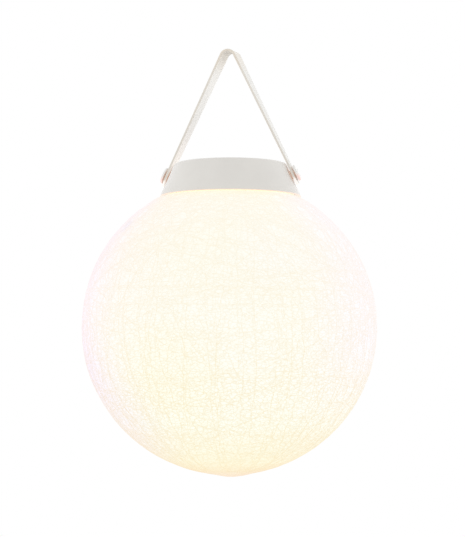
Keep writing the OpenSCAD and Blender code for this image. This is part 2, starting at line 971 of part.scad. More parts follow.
module neck_ring() {
    skirt_or = globe_r - yarn_wall;
    skirt_low = globe_z + sqrt(skirt_or * skirt_or - skirt_r * skirt_r);
    lug_turn = lug_angle / 2 + twist_angle + lug_side;
    entry_angle = lug_angle + 2 * lug_side;
    slot_ir = ring_ir - cut;
    slot_or = lug_or + slide_gap;
    color([0.95, 0.95, 0.94])
        difference() {
            rotate_extrude() {
                translate([ring_ir, -ring_down])
                    square([ring_wall, ring_up + ring_down]);
                shell_profile(skirt_or, skirt_or - skirt_t, ring_or - ring_wall / 2, skirt_low, -rim_gap);
            }
            for (i = [0:lug_count - 1])
                rotate([0, 0, i * 360 / lug_count - lug_turn]) {
                    ring_sector(slot_ir, slot_or, slot_low, slot_top - slot_low, entry_angle + twist_angle);
                    ring_sector(slot_ir, slot_or, slot_low, ring_up + cut - slot_low, entry_angle);
                }
        }
}

module shade() {
    color([1.00, 0.95, 0.84])
        rotate_extrude()
            union() {
                shell_profile(globe_r, globe_r - yarn_wall, 0, globe_z - globe_r, -rim_gap);
                intersection() {
                    translate([0, pole_z + knot_r])
                        circle(r = knot_r);
                    translate([0, pole_z])
                        square([knot_r, knot_rise + yarn_wall / 2]);
                }
            }
}

translate(part_lift) {
    strap();
    collar();
    knob_left();
    knob_right();
    knob_washers();
    knob_nuts();
    panel_pad();
    panel_back();
    solar_cells();
    panel_cover();
    panel_leads();
    circuit_board();
    board_parts();
    board_screws();
    push_switch();
    switch_plunger();
    power_button();
    button_ring();
    base_plate();
    base_seal();
    base_screws();
    battery();
    battery_contact_plus();
    battery_contact_minus();
    battery_door();
    battery_door_seal();
    battery_door_screws();
    light_board();
    light_chips();
    light_board_screws();
    light_leads();
    light_dome();
    neck_ring();
    shade();
}
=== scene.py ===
"""Looks of a hanging cotton ball lamp, laid out as an add-on and run as a script."""

import json
import math

import bmesh
import bpy
import numpy as np
from bpy.props import FloatProperty, FloatVectorProperty, IntProperty, PointerProperty
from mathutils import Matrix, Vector


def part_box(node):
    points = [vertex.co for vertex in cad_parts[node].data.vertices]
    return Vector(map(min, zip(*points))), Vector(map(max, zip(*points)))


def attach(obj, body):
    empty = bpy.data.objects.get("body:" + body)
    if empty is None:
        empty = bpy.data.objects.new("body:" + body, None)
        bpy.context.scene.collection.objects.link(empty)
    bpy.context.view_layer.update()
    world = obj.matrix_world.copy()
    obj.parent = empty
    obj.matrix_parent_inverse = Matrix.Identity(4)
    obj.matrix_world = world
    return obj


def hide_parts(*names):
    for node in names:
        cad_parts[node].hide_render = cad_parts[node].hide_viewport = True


bl_info = {
    "name": "Cotton Ball Lamp",
    "version": (1, 0, 0),
    "blender": (4, 5, 0),
    "location": "View3D > Sidebar > Lamp",
    "description": "Winds a lit cotton ball and dresses its collar, strap and knobs",
    "category": "Object",
}

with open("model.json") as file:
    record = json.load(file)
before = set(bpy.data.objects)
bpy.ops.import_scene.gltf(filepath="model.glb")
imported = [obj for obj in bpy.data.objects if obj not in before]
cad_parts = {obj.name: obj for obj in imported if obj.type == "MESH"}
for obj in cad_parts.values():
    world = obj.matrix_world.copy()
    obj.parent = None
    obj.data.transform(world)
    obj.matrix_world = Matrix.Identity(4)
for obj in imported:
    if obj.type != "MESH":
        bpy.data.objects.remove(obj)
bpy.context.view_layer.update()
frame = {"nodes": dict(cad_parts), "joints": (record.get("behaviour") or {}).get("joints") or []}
MM = 0.001

# Places from the frame, in metres, with the hanging point as the origin
SHADE_LOW, SHADE_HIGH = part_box("shade")
COLLAR_LOW, COLLAR_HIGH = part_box("collar")
STRAP_LOW, STRAP_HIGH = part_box("strap")
KNOB_LOW, KNOB_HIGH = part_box("knob_right")
CELLS_LOW, CELLS_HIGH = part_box("solar_cells")
HINGE = Vector(next(j["pos_m"] for j in frame["joints"] if j["name"] == "strap_swing"))

# Sizes that the frame doesn't give: the collar's slope, the strap's tabs, and the knot under the ball
COLLAR_TOP_R = 38 * MM
STRAP_TAIL = 7.7 * MM
KNOT_RISE = 1.3 * MM
KNOT_REACH = 11 * MM
KNOT_PLACE = (2.4 * MM, 0.5 * MM)
# The wound ball hangs a little to the left
BALL_ASIDE = -0.7 * MM

# What follows from both
COLLAR_LOW_R = COLLAR_HIGH.x
STRAP_THICKNESS = STRAP_HIGH.z
SLOPE = math.atan2(COLLAR_LOW_R - COLLAR_TOP_R, COLLAR_HIGH.z - COLLAR_LOW.z)
HINGE_X = STRAP_HIGH.x - STRAP_TAIL * math.sin(SLOPE) - STRAP_THICKNESS / 2 * math.cos(SLOPE)
BALL_R = round(SHADE_HIGH.x, 3)
BALL_Z = SHADE_LOW.z + KNOT_RISE + BALL_R
BALL_MIDDLE = (BALL_ASIDE, 0, BALL_Z)
MOUTH_Z = SHADE_HIGH.z
MOUTH_COS = (MOUTH_Z - BALL_Z) / BALL_R


# Meshes

# Height of a thread's section over the ball, as a share of its width
THREAD_FLATNESS = 0.85


def mesh_object(name, points, faces):
    """A smooth mesh object from points and arrays of faces, each array with its own number of corners."""
    mesh = bpy.data.meshes.new(name)
    corners = np.concatenate([np.asarray(f, np.int32).ravel() for f in faces])
    totals = np.concatenate([np.full(len(f), np.shape(f)[1], np.int32) for f in faces])
    starts = np.concatenate([[0], np.cumsum(totals)[:-1]]).astype(np.int32)
    mesh.vertices.add(len(points))
    mesh.vertices.foreach_set("co", np.asarray(points, np.float32).ravel())
    mesh.loops.add(len(corners))
    mesh.loops.foreach_set("vertex_index", corners)
    mesh.polygons.add(len(totals))
    mesh.polygons.foreach_set("loop_start", starts)
    mesh.polygons.foreach_set("use_smooth", np.full(len(totals), True))
    mesh.update(calc_edges=True)
    mesh.validate()
    made = bpy.data.objects.new(name, mesh)
    bpy.context.scene.collection.objects.link(made)
    return made


def unit(rows):
    """Each row of an array, scaled to length 1."""
    return rows / np.linalg.norm(rows, axis=-1, keepdims=True)


def on_ball(directions, height):
    """Points in the frame for directions from the ball's middle, at heights above its nominal surface."""
    return directions * (BALL_R + np.reshape(height, (-1, 1))) + np.array(BALL_MIDDLE)


def tube(path, centre, radius, sides, closed):
    """Rings of points and faces of a slightly flat thread along a path that lies on the ball."""
    ahead = np.roll(path, -1, axis=0) - np.roll(path, 1, axis=0)
    if not closed:
        ahead[0] = path[1] - path[0]
        ahead[-1] = path[-1] - path[-2]
    ahead = unit(ahead)
    side = unit(np.cross(ahead, path - centre))
    up = np.cross(side, ahead)
    turns = 2 * math.pi * (np.arange(sides) + 0.5) / sides
    ring = np.cos(turns)[None, :, None] * side[:, None]
    ring = ring + THREAD_FLATNESS * np.sin(turns)[None, :, None] * up[:, None]
    points = (path[:, None] + radius * ring).reshape(-1, 3)
    count = len(path)
    rows = np.arange(count if closed else count - 1)[:, None]
    cols = np.arange(sides)[None, :]
    here, there = rows * sides, (rows + 1) % count * sides
    right = (cols + 1) % sides
    quads = np.stack([here + cols, there + cols, there + right, here + right], axis=-1).reshape(-1, 4)
    faces = [quads]
    if not closed:
        faces.append(np.arange(sides)[None])
        faces.append((count - 1) * sides + np.arange(sides)[None, ::-1])
    return points, faces


def join_tubes(name, threads, sides):
    """One mesh object from many threads, each given as (path, radius, closed, tone)."""
    points, tones, quads, caps = [], [], [], []
    start = 0
    centre = np.array(BALL_MIDDLE)
    for path, radius, closed, tone in threads:
        made, parts = tube(path, centre, radius, sides, closed)
        points.append(made)
        tones.append(np.repeat(tone, sides))
        quads.append(parts[0] + start)
        caps += [part + start for part in parts[1:]]
        start += len(made)
    faces = [np.concatenate(quads)]
    if caps:
        faces.append(np.concatenate(caps))
    made = mesh_object(name, np.concatenate(points), faces)
    tone = made.data.attributes.new("tone", "FLOAT", "POINT")
    tone.data.foreach_set("value", np.concatenate(tones).astype(np.float32))
    return made


# Winding

# Waves round a turn: the long ones take the whole drift, the short ones a part of the crinkle
LONG_WAVES = (2, 4)
SHORT_WAVES = ((21, 1), (34, 1), (52, 2), (70, 3))
WAVE_CHANGE = (-1, 7)
# Lengths over the ball of the dives and of the changes in tone
DIVE_LENGTHS = (14 * MM, 40 * MM)
TONE_LENGTHS = (12 * MM, 50 * MM)
TONE_CHANGE = 0.4
# How much the threads differ in thickness and in tone
THICKNESS_RANGE = (0.8, 1.2)
TONE_RANGE = (0.2, 0.8)
# Height in ball radii where a sink sets in, and how far up it goes on
SINK_START = -0.2
SINK_LIMIT = 0.5
# Lean in degrees of the shallow turns, and how far off the ball's middle they lie, in ball radii
SHALLOW_LEAN = (8, 36)
SHALLOW_OFFSET = (-0.8, 0.7)
# A direction that no turn's axis shares
SLANT = (0.31, 0.77, 0.56)
# Fewest points of a stretch of thread below the mouth
SHORTEST_RUN = 4


def wound_circle(rng, axis, offset, drift, crinkle, steps):
    """Directions along one turn of thread, which drifts in long waves and crinkles in short ones."""
    axis = unit(np.asarray(axis, float))
    across = unit(np.cross(axis, SLANT))
    over = np.cross(axis, across)
    turn = np.linspace(0, 2 * math.pi, steps, endpoint=False) + rng.uniform(0, 2 * math.pi)
    side = np.full(steps, offset)
    waves = [(count, drift) for count in LONG_WAVES]
    waves += [(count, crinkle / divisor) for count, divisor in SHORT_WAVES]
    for count, swing in waves:
        count += rng.integers(*WAVE_CHANGE)
        side += swing / BALL_R * rng.normal() * np.sin(count * turn + rng.uniform(0, 2 * math.pi))
    around = np.cos(turn)[:, None] * across + np.sin(turn)[:, None] * over
    return unit(axis * side[:, None] + np.sqrt(1 - side[:, None] ** 2) * around)


def below_mouth(turn):
    """The stretches of a turn that lie below the ball's mouth, as (directions, closed)."""
    above = turn[:, 2] > MOUTH_COS
    if not above.any():
        return [(turn, True)]
    if above.all():
        return []
    turn = np.roll(turn, -int(np.argmax(above)), axis=0)
    above = turn[:, 2] > MOUTH_COS
    edges = np.flatnonzero(above != np.roll(above, 1))
    runs = []
    for low, high in zip(edges, np.append(edges[1:], len(turn))):
        if above[low]:
            continue
        ends = [(low - 1, low), (high - 1, high % len(turn))]
        cuts = []
        for a, b in ends:
            share = (MOUTH_COS - turn[a, 2]) / (turn[b, 2] - turn[a, 2])
            cuts.append(unit(turn[a] + share * (turn[b] - turn[a])))
        run = np.vstack([cuts[0], turn[low:high], cuts[1]])
        if len(run) >= SHORTEST_RUN:
            runs.append((run, False))
    return runs


def pole_rise(directions):
    """How far the threads pile up round the knot at the lower pole, where they all cross."""
    away = np.hypot(directions[:, 0] * BALL_R - KNOT_PLACE[0], directions[:, 1] * BALL_R - KNOT_PLACE[1])
    lower = directions[:, 2] < 0
    return np.where(lower, KNOT_RISE * np.exp(-(away / KNOT_REACH) ** 2), 0.0)


def ripple(rng, directions, shortest, longest):
    """Smooth waves over the ball, from -1 to 1, none shorter or much longer than given."""
    total = np.zeros(len(directions))
    for _ in range(2):
        way = unit(rng.normal(size=3)) * 2 * math.pi * BALL_R / rng.uniform(shortest, longest)
        total += np.sin(directions @ way + rng.uniform(0, 2 * math.pi)) / 2
    return total


def wind(rng, turns, heights, diameter, waves, sink=0.0):
    """Threads for turns of (axis, offset), each diving under and rising over the others within its heights.

    The waves are the drift, the crinkle and the number of points of a turn. A sink lowers its upper part.
    """
    threads = []
    middle = (heights[0] + heights[1]) / 2
    dive = (heights[1] - heights[0]) / 2
    for axis, offset in turns:
        radius = diameter / 2 * rng.uniform(*THICKNESS_RANGE)
        tone = rng.uniform(*TONE_RANGE)
        for run, closed in below_mouth(wound_circle(rng, axis, offset, *waves)):
            level = middle + dive * ripple(rng, run, *DIVE_LENGTHS)
            level = level - sink * np.clip(run[:, 2] - SINK_START, 0, SINK_LIMIT)
            path = on_ball(run, level - radius + pole_rise(run))
            tones = np.clip(tone + TONE_CHANGE * ripple(rng, run, *TONE_LENGTHS), 0, 1)
            threads.append((path, radius, closed, tones))
    return threads


def random_turns(rng, count, offset):
    """Turns in all directions, mostly within an offset of the ball's middle."""
    return [(axis, rng.normal(0, offset)) for axis in unit(rng.normal(size=(count, 3)))]


def shallow_turns(rng, count):
    """Turns that climb and fall a little on their way round the ball, at all its heights."""
    turns = []
    for _ in range(count):
        lean, way = math.radians(rng.uniform(*SHALLOW_LEAN)), rng.uniform(0, 2 * math.pi)
        axis = (math.sin(lean) * math.cos(way), math.sin(lean) * math.sin(way), math.cos(lean))
        turns.append((axis, rng.uniform(*SHALLOW_OFFSET)))
    return turns


# Materials

# Noise values between which the patches of a finish blend
PATCH_BLEND = (0.3, 0.7)


def new_material(name, color, roughness, **sockets):
    """A material with one Principled shader, whose other constants are given by socket name.

    Its glow is left to the rays that meet it, because sampling a million glowing faces as lamps gives grain.
    """
    made = bpy.data.materials.new(name)
    made.use_nodes = True
    made.cycles.emission_sampling = "NONE"
    shader = made.node_tree.nodes["Principled BSDF"]
    shader.inputs["Base Color"].default_value = (*color, 1)
    shader.inputs["Roughness"].default_value = roughness
    for socket, value in sockets.items():
        shader.inputs[socket.replace("_", " ")].default_value = value
    return made


def add(made, kind, **values):
    """A new node of a material or world with its input values or properties set."""
    node = made.node_tree.nodes.new(kind)
    for key, value in values.items():
        if key in node.inputs:
            node.inputs[key].default_value = value
        else:
            setattr(node, key, value)
    return node


def shader_of(made):
    """The Principled shader of a material."""
    return made.node_tree.nodes["Principled BSDF"]


def join(made, out, into):
    """Links an output to an input."""
    made.node_tree.links.new(out, into)


def calculate(made, operation, *values):
    """The output of a Math node whose inputs are numbers or other nodes' outputs."""
    node = add(made, "ShaderNodeMath", operation=operation)
    for value, into in zip(values, node.inputs):
        if isinstance(value, bpy.types.NodeSocket):
            join(made, value, into)
        else:
            into.default_value = value
    return node.outputs[0]


def component(made, vector, axis):
    """One of the three numbers of a vector."""
    split = add(made, "ShaderNodeSeparateXYZ")
    join(made, vector, split.inputs["Vector"])
    return split.outputs[axis]


def mix_shaders(made, factor, low, high):
    """A shader mixed from the outputs of two others."""
    node = add(made, "ShaderNodeMixShader")
    for value, into in zip((factor, low, high), node.inputs):
        join(made, value, into)
    return node.outputs[0]


def object_point(made, scale=(1, 1, 1)):
    """The point on the piece in the lamp's own frame, in metres, with its axes scaled."""
    place = add(made, "ShaderNodeTexCoord")
    stretch = add(made, "ShaderNodeMapping")
    stretch.inputs["Scale"].default_value = scale
    join(made, place.outputs["Object"], stretch.inputs["Vector"])
    return stretch.outputs["Vector"]


def noise_value(made, size, detail=3.0, scale=(1, 1, 1)):
    """A noise from 0 to 1 whose features are about one size, in metres."""
    noise = add(made, "ShaderNodeTexNoise", Scale=1 / size, Detail=detail, Roughness=0.55)
    join(made, object_point(made, scale), noise.inputs["Vector"])
    return noise.outputs["Fac"]


def mix_colors(made, factor, low, high, mode="MIX"):
    """A colour mixed from two, each a colour or another node's output, by a number or an output."""
    node = add(made, "ShaderNodeMix", data_type="RGBA", blend_type=mode)
    for value, into in ((factor, node.inputs[0]), (low, node.inputs[6]), (high, node.inputs[7])):
        if isinstance(value, bpy.types.NodeSocket):
            join(made, value, into)
        else:
            into.default_value = value if isinstance(value, (int, float)) else (*value, 1)
    return node.outputs[2]


def spread(made, value, low, high, kind="SMOOTHSTEP"):
    """A value stretched so that low gives 0 and high gives 1, smoothly unless another kind is named."""
    node = add(made, "ShaderNodeMapRange", interpolation_type=kind)
    node.inputs["From Min"].default_value = low
    node.inputs["From Max"].default_value = high
    join(made, value, node.inputs["Value"])
    return node.outputs["Result"]


def mottle(made, color, amount, size):
    """Gives the base colour a soft variation of an amount over patches of a size."""
    patches = spread(made, noise_value(made, size), *PATCH_BLEND)
    dark = [c * (1 - amount) for c in color]
    light = [min(1, c * (1 + amount)) for c in color]
    join(made, mix_colors(made, patches, dark, light), shader_of(made).inputs["Base Color"])


def grain(made, size, depth, detail=4.0, scale=(1, 1, 1)):
    """Gives the surface a bump of a size and a depth, both in metres."""
    bump = add(made, "ShaderNodeBump", Strength=1.0, Distance=depth)
    join(made, noise_value(made, size, detail, scale), bump.inputs["Height"])
    join(made, bump.outputs["Normal"], shader_of(made).inputs["Normal"])


def vary_roughness(made, low, high, size):
    """Makes the gloss change softly between two roughnesses."""
    node = add(made, "ShaderNodeMapRange")
    node.inputs["To Min"].default_value = low
    node.inputs["To Max"].default_value = high
    join(made, noise_value(made, size), node.inputs["Value"])
    join(made, node.outputs["Result"], shader_of(made).inputs["Roughness"])


def near(made, place, inner, outer):
    """1 inside a radius of a place, fading to 0 at an outer radius."""
    away = add(made, "ShaderNodeVectorMath", operation="DISTANCE")
    join(made, object_point(made), away.inputs[0])
    away.inputs[1].default_value = place
    return spread(made, away.outputs["Value"], outer, inner)


def off_slope(made):
    """How far a point lies outward from the middle of the strap's tab, square to the collar's slope."""
    size = add(made, "ShaderNodeVectorMath", operation="ABSOLUTE")
    join(made, object_point(made), size.inputs[0])
    along = add(made, "ShaderNodeVectorMath", operation="DOT_PRODUCT")
    join(made, size.outputs[0], along.inputs[0])
    along.inputs[1].default_value = (math.cos(SLOPE), 0, -math.sin(SLOPE))
    tab = HINGE_X * math.cos(SLOPE) + HINGE.z * math.sin(SLOPE)
    return calculate(made, "SUBTRACT", along.outputs["Value"], tab)


def both(made, first, second):
    """The product of two factors."""
    return calculate(made, "MULTIPLY", first, second)


def tint_base(made, factor, tint):
    """Multiplies a linked base colour by a tint where a factor is 1."""
    base = shader_of(made).inputs["Base Color"]
    join(made, mix_colors(made, factor, base.links[0].from_socket, tint, "MULTIPLY"), base)


def warm(made, *warmth):
    """Paints light as a glow on a piece where each factor is 1, given as (factor, colour) pairs, such as the
    warm light of the ball where it reaches a piece.
    """
    light = (0, 0, 0)
    for factor, color in warmth:
        light = mix_colors(made, factor, light, color)
    join(made, light, shader_of(made).inputs["Emission Color"])
    shader_of(made).inputs["Emission Strength"].default_value = 1.0


def height_along(made, low, high):
    """0 at one height of the lamp and 1 at another."""
    return spread(made, component(made, object_point(made), "Z"), low, high, "LINEAR")


def color_ramp(made, value, stops):
    """A colour from a ramp of (place, colour) stops."""
    node = add(made, "ShaderNodeValToRGB")
    marks = node.color_ramp.elements
    for place, color in stops[2:]:
        marks.new(place)
    for mark, (place, color) in zip(marks, sorted(stops)):
        mark.position = place
        mark.color = (*color, 1)
    join(made, value, node.inputs["Fac"])
    return node.outputs["Color"]


def moulded_plastic(name, color, roughness=0.42, stipple=0.35 * MM, depth=0.003 * MM):
    """Satin moulded plastic with a faint stipple and a little variation of colour and gloss."""
    made = new_material(name, color, roughness, IOR=1.48)
    mottle(made, color, amount=0.012, size=14 * MM)
    vary_roughness(made, low=roughness - 0.05, high=roughness + 0.05, size=6 * MM)
    grain(made, stipple, depth, detail=1.0)
    return made


def plated_steel(name, color):
    """Plated steel with fine turned scratches."""
    made = new_material(name, color, roughness=0.3, Metallic=1.0)
    mottle(made, color, amount=0.06, size=3 * MM)
    vary_roughness(made, low=0.22, high=0.4, size=0.8 * MM)
    grain(made, size=0.25 * MM, depth=0.01 * MM, scale=(1, 1, 12))
    return made


def lacquer(name, color, roughness, patch):
    """Smooth lacquer or film with soft patches."""
    made = new_material(name, color, roughness, Coat_Weight=0.3)
    mottle(made, color, amount=0.1, size=patch)
    grain(made, size=0.6 * MM, depth=0.008 * MM)
    return made


def dress(node, made):
    """Gives a frame node its material."""
    slots = frame["nodes"][node].data.materials
    slots.clear()
    slots.append(made)


# What a user would change

class LampBall(bpy.types.PropertyGroup):
    skin_depth: FloatProperty(name="Skin depth", default=0.95 * MM, min=0.3 * MM, max=3 * MM, unit="LENGTH",
                              description="How far the glowing skin lies below the outermost threads")
    skin_wall: FloatProperty(name="Skin wall", description="Thickness of the glued inner layers",
                             default=0.9 * MM, min=0.4 * MM, max=2 * MM, unit="LENGTH")
    fine_turns: IntProperty(name="Fine turns", description="Turns of fine thread in the lower layer",
                            default=260, min=10, max=700)
    fine_diameter: FloatProperty(name="Fine thread", description="Thickness of the fine thread",
                                 default=0.36 * MM, min=0.2 * MM, max=0.8 * MM, unit="LENGTH")
    yarn_turns: IntProperty(name="Yarn turns", description="Turns of yarn in the upper layer",
                            default=120, min=10, max=400)
    yarn_diameter: FloatProperty(name="Yarn", description="Thickness of the yarn",
                                 default=0.56 * MM, min=0.3 * MM, max=1.2 * MM, unit="LENGTH")
    pole_turns: IntProperty(name="Pole turns", description="Turns that run from pole to pole",
                            default=40, min=4, max=60)
    band_turns: IntProperty(name="Band turns", description="Turns in each level band round the ball",
                            default=3, min=1, max=12)
    glow: FloatProperty(name="Glow", description="Strength of the light that comes through the ball",
                        default=1.0, min=0, max=5)
    seed: IntProperty(name="Seed", description="Which random winding is made", default=11, min=0, max=999)


class LampStrap(bpy.types.PropertyGroup):
    width: FloatProperty(name="Width", description="Width of the strap", default=STRAP_HIGH.y - STRAP_LOW.y,
                         min=6 * MM, max=20 * MM, unit="LENGTH")
    thickness: FloatProperty(name="Thickness", description="Thickness of the strap", default=STRAP_THICKNESS,
                             min=0.8 * MM, max=3 * MM, unit="LENGTH")
    bend: FloatProperty(name="Bend", description="Radius of the top bend at the strap's middle",
                        default=4.8 * MM, min=2 * MM, max=12 * MM, unit="LENGTH")
    flat: FloatProperty(name="Flat", description="Length that lies along the collar above each hole",
                        default=7.5 * MM, min=4 * MM, max=15 * MM, unit="LENGTH")
    tail: FloatProperty(name="Tail", description="Length below the middle of each hole",
                        default=STRAP_TAIL, min=6 * MM, max=15 * MM, unit="LENGTH")
    hole: FloatProperty(name="Hole", description="Diameter of the holes for the knobs", default=4.6 * MM,
                        min=3 * MM, max=6 * MM, unit="LENGTH")
    twist: FloatProperty(name="Twist", description="How far the strap is twisted at its top", default=-0.192,
                         min=-0.6, max=0.6, subtype="ANGLE")
    edge: FloatProperty(name="Edge", description="Rounding of the strap's edges", default=0.35 * MM,
                        min=0.05 * MM, max=0.7 * MM, unit="LENGTH")
    color: FloatVectorProperty(name="Colour", description="Colour of the strap", subtype="COLOR",
                               default=(0.77, 0.76, 0.73), min=0, max=1)


class LampHousing(bpy.types.PropertyGroup):
    color: FloatVectorProperty(name="Colour", description="Colour of the collar", subtype="COLOR",
                               default=(0.70, 0.68, 0.645), min=0, max=1)
    knob_color: FloatVectorProperty(name="Knob colour", description="Colour of the knobs", subtype="COLOR",
                                    default=(0.80, 0.79, 0.77), min=0, max=1)


class LampStage(bpy.types.PropertyGroup):
    distance: FloatProperty(name="Camera distance", description="From the camera to the ball's middle",
                            default=1.2, min=0.5, max=5, unit="LENGTH")
    azimuth: FloatProperty(name="Camera azimuth", default=0.199, subtype="ANGLE",
                           description="How far the camera stands to the right of the front")
    elevation: FloatProperty(name="Camera elevation", default=-0.033, subtype="ANGLE",
                             description="How far the camera stands above the ball's middle")
    lens: FloatProperty(name="Lens", description="Focal length on a 36 mm sensor",
                        default=118.77, min=20, max=300, unit="CAMERA")
    light: FloatProperty(name="Light", description="Strength of the studio's light from the front and back",
                         default=0.84, min=0, max=2)
    side_light: FloatProperty(name="Side light", description="How much stronger the light from the sides is",
                              default=0.5, min=0, max=2)
    floor_drop: FloatProperty(name="Floor", description="Height of the floor below the hanging point",
                              default=0.9, min=0.4, max=3, unit="LENGTH")


# Ball

# Colour of the light through the ball, from its lower pole at 0 to its mouth at 1
GLOW_STOPS = (
    (0.0, (1.0, 0.87, 0.80)),
    (0.03, (1.0, 0.905, 0.72)),
    (0.06, (1.005, 0.96, 0.79)),
    (0.1, (1.0, 0.977, 0.843)),
    (0.15, (1.0, 0.987, 0.88)),
    (0.19, (1.0, 1.009, 0.94)),
    (0.24, (1.003, 1.01, 0.957)),
    (0.42, (1.003, 1.008, 0.985)),
    (0.6, (1.003, 1.006, 0.99)),
    (0.8, (1.0, 0.997, 0.965)),
    (0.93, (1.008, 1.0, 0.99)),
    (0.978, (1.01, 0.995, 0.965)),
    (0.99, (1.01, 1.0, 0.915)),
)
# Share of the glow that every thread lets through where none stands out
PLAIN_GLOW = (0.85, 0.832, 0.74)
# How clearly the threads stand out, over the same heights
CONTRAST_STOPS = (
    (0.0, 0.4),
    (0.06, 0.6),
    (0.15, 0.9),
    (0.3, 1.0),
    (0.42, 0.75),
    (0.56, 0.6),
    (0.76, 0.42),
    (0.9, 0.28),
    (1.0, 0.2),
)
# Painted shade and paler, bluer painted studio light towards the ball's two sides, the second only where the
# ball is high enough
SIDE_FADE = (0.55, 1.08)
HIGH_FADE = (0.15, 0.5)
SIDE_PAINTED_SHADE = (1.0, 0.982, 1.0)
SIDE_PAINTED_LIGHT = (1.005, 1.0, 1.14)
# Spots of another tint: their place, and where they are full and gone, all in ball radii. In turn: painted
# shade low on the left, painted rim light on the left, a small darker spot, a warmer patch, and paler painted
# studio light on the upper right
GLOW_AND_PAINTED_SPOTS = (
    ((-0.78, -0.35, -0.62), 0.2, 0.75, (0.975, 0.94, 1.055)),
    ((-0.95, -0.20, 0.42), 0.25, 1.2, (1.0, 0.958, 1.03)),
    ((-0.61, -0.437, 0.661), 0.015, 0.075, (0.93, 0.95, 1.0)),
    ((-0.20, -0.93, -0.35), 0.1, 0.5, (1.0, 0.993, 0.945)),
    ((0.45, -0.76, 0.45), 0.05, 0.35, (1.0, 1.003, 1.045)),
)
# Nets of deeper threads: size of a cell, how much they dim, and width of a line in cells
NETS = ((3.3 * MM, 0.17, 0.15), (2.1 * MM, 0.08, 0.15))
# Shares of red, green and blue that a net takes, and how much lower than wide its cells are
NET_SHARES = (0.2, 0.5, 1.0)
NET_STRETCH = (1, 1, 1.8)
# How much brighter the cells are than the lines are dimmer, and how far and how often the lines bend
NET_GAIN = 0.5
NET_BEND = 1.8 * MM
NET_BEND_SIZE = 2.5 * MM

# Cotton: its own colour, and the shares of the glow that its brightest and dimmest threads let through
SKIN_COLOR = (0.13, 0.12, 0.105)
SKIN_SHARE = (0.86, 0.85, 0.79)
FINE_COLORS = ((0.13, 0.115, 0.10), (0.857, 0.847, 0.785), (0.85, 0.83, 0.74))
YARN_COLORS = ((0.13, 0.11, 0.10), (0.85, 0.827, 0.725), (0.838, 0.79, 0.65))
OUTER_COLORS = ((0.13, 0.11, 0.10), (0.84, 0.80, 0.68), (0.82, 0.75, 0.57))

# Layers: their heights from the nominal surface, and the drift, crinkle and points of a turn
FINE_CLEARANCE = 0.15 * MM
FINE_TOP = -0.35 * MM
FINE_WAVES = (1.0 * MM, 0.4 * MM, 300)
FINE_LAYERS = 4
FINE_SIDES = 3
YARN_HEIGHTS = (-0.6 * MM, -0.05 * MM)
YARN_WAVES = (1.4 * MM, 0.55 * MM, 310)
YARN_SIDES = 4
POLE_HEIGHTS = (-0.4 * MM, 0.0)
POLE_WAVES = (1.4 * MM, 0.35 * MM, 310)
POLE_DIAMETER = 0.54 * MM
POLE_SINK = 1.1 * MM
BAND_HEIGHTS = (-0.7 * MM, -0.1 * MM)
BAND_WAVES = (0.5 * MM, 0.3 * MM, 310)
BAND_DIAMETER = 0.5 * MM
# Spread of the turns: off their place in ball radii, in lean, and in shares of the way to the next one
FINE_OFFSET = 0.05
YARN_OFFSET = 0.06
POLE_OFFSET = 0.02
POLE_LEAN = 0.03
POLE_SHIFT = 0.35
BAND_OFFSET = 0.008
BAND_LEAN = 0.006
# Level bands: height over the ball's middle, and lean to the side
BANDS = ((22.0 * MM, 0.012), (10.4 * MM, 0.024), (-33.4 * MM, 0.0))

# Rings and columns of the skin, and the angle that is left for the cap at its lower pole
SKIN_RINGS = 100
SKIN_COLUMNS = 150
POLE_GAP = 0.004


def inner_net(made, light):
    """Dims a light along a net of deeper threads, whose cells are wider than high."""
    for size, depth, width in NETS:
        point = object_point(made, NET_STRETCH)
        bend = add(made, "ShaderNodeTexNoise", Scale=1 / NET_BEND_SIZE, Detail=2.0)
        join(made, point, bend.inputs["Vector"])
        shift = add(made, "ShaderNodeVectorMath", operation="MULTIPLY_ADD")
        join(made, bend.outputs["Color"], shift.inputs[0])
        shift.inputs[1].default_value = (NET_BEND,) * 3
        join(made, point, shift.inputs[2])
        net = add(made, "ShaderNodeTexVoronoi", feature="DISTANCE_TO_EDGE", Scale=1 / size)
        join(made, shift.outputs[0], net.inputs["Vector"])
        pores = spread(made, net.outputs["Distance"], 0.0, width)
        tint = mix_colors(made, pores, [1 - share * depth for share in NET_SHARES],
                          [1 + NET_GAIN * share * depth for share in NET_SHARES])
        light = mix_colors(made, contrast(made), light, tint, "MULTIPLY")
    return light


def contrast(made):
    """How clearly the threads stand out at each height: most in the lower half, least under the collar."""
    stops = [(place, (value,) * 3) for place, value in CONTRAST_STOPS]
    return color_ramp(made, height_along(made, SHADE_LOW.z, MOUTH_Z), stops)


def glow_color(made):
    """The colour of the light that comes through the ball, warm at its knot, with painted shade and paler
    painted studio light towards its sides and in some spots.
    """
    light = color_ramp(made, height_along(made, SHADE_LOW.z, MOUTH_Z), GLOW_STOPS)
    level = add(made, "ShaderNodeVectorMath", operation="NORMALIZE")
    join(made, object_point(made, (1, 1, 0)), level.inputs[0])
    aside = calculate(made, "ABSOLUTE", component(made, level.outputs[0], "X"))
    # Painted shade and paler, bluer painted studio light towards the ball's sides
    side = spread(made, aside, *SIDE_FADE)
    high = spread(made, height_along(made, SHADE_LOW.z, MOUTH_Z), *HIGH_FADE)
    for factor, tint in ((side, SIDE_PAINTED_SHADE), (both(made, side, high), SIDE_PAINTED_LIGHT)):
        light = mix_colors(made, 1.0, light, mix_colors(made, factor, (1, 1, 1), tint), "MULTIPLY")
    # Spots that tint the light: painted shade and painted studio light, and patches of the glow
    for place, inner, outer, tint in GLOW_AND_PAINTED_SPOTS:
        centre = [BALL_R * c + m for c, m in zip(place, BALL_MIDDLE)]
        spot = near(made, centre, inner * BALL_R, outer * BALL_R)
        light = mix_colors(made, spot, light, tint, "MULTIPLY")
    return inner_net(made, light)


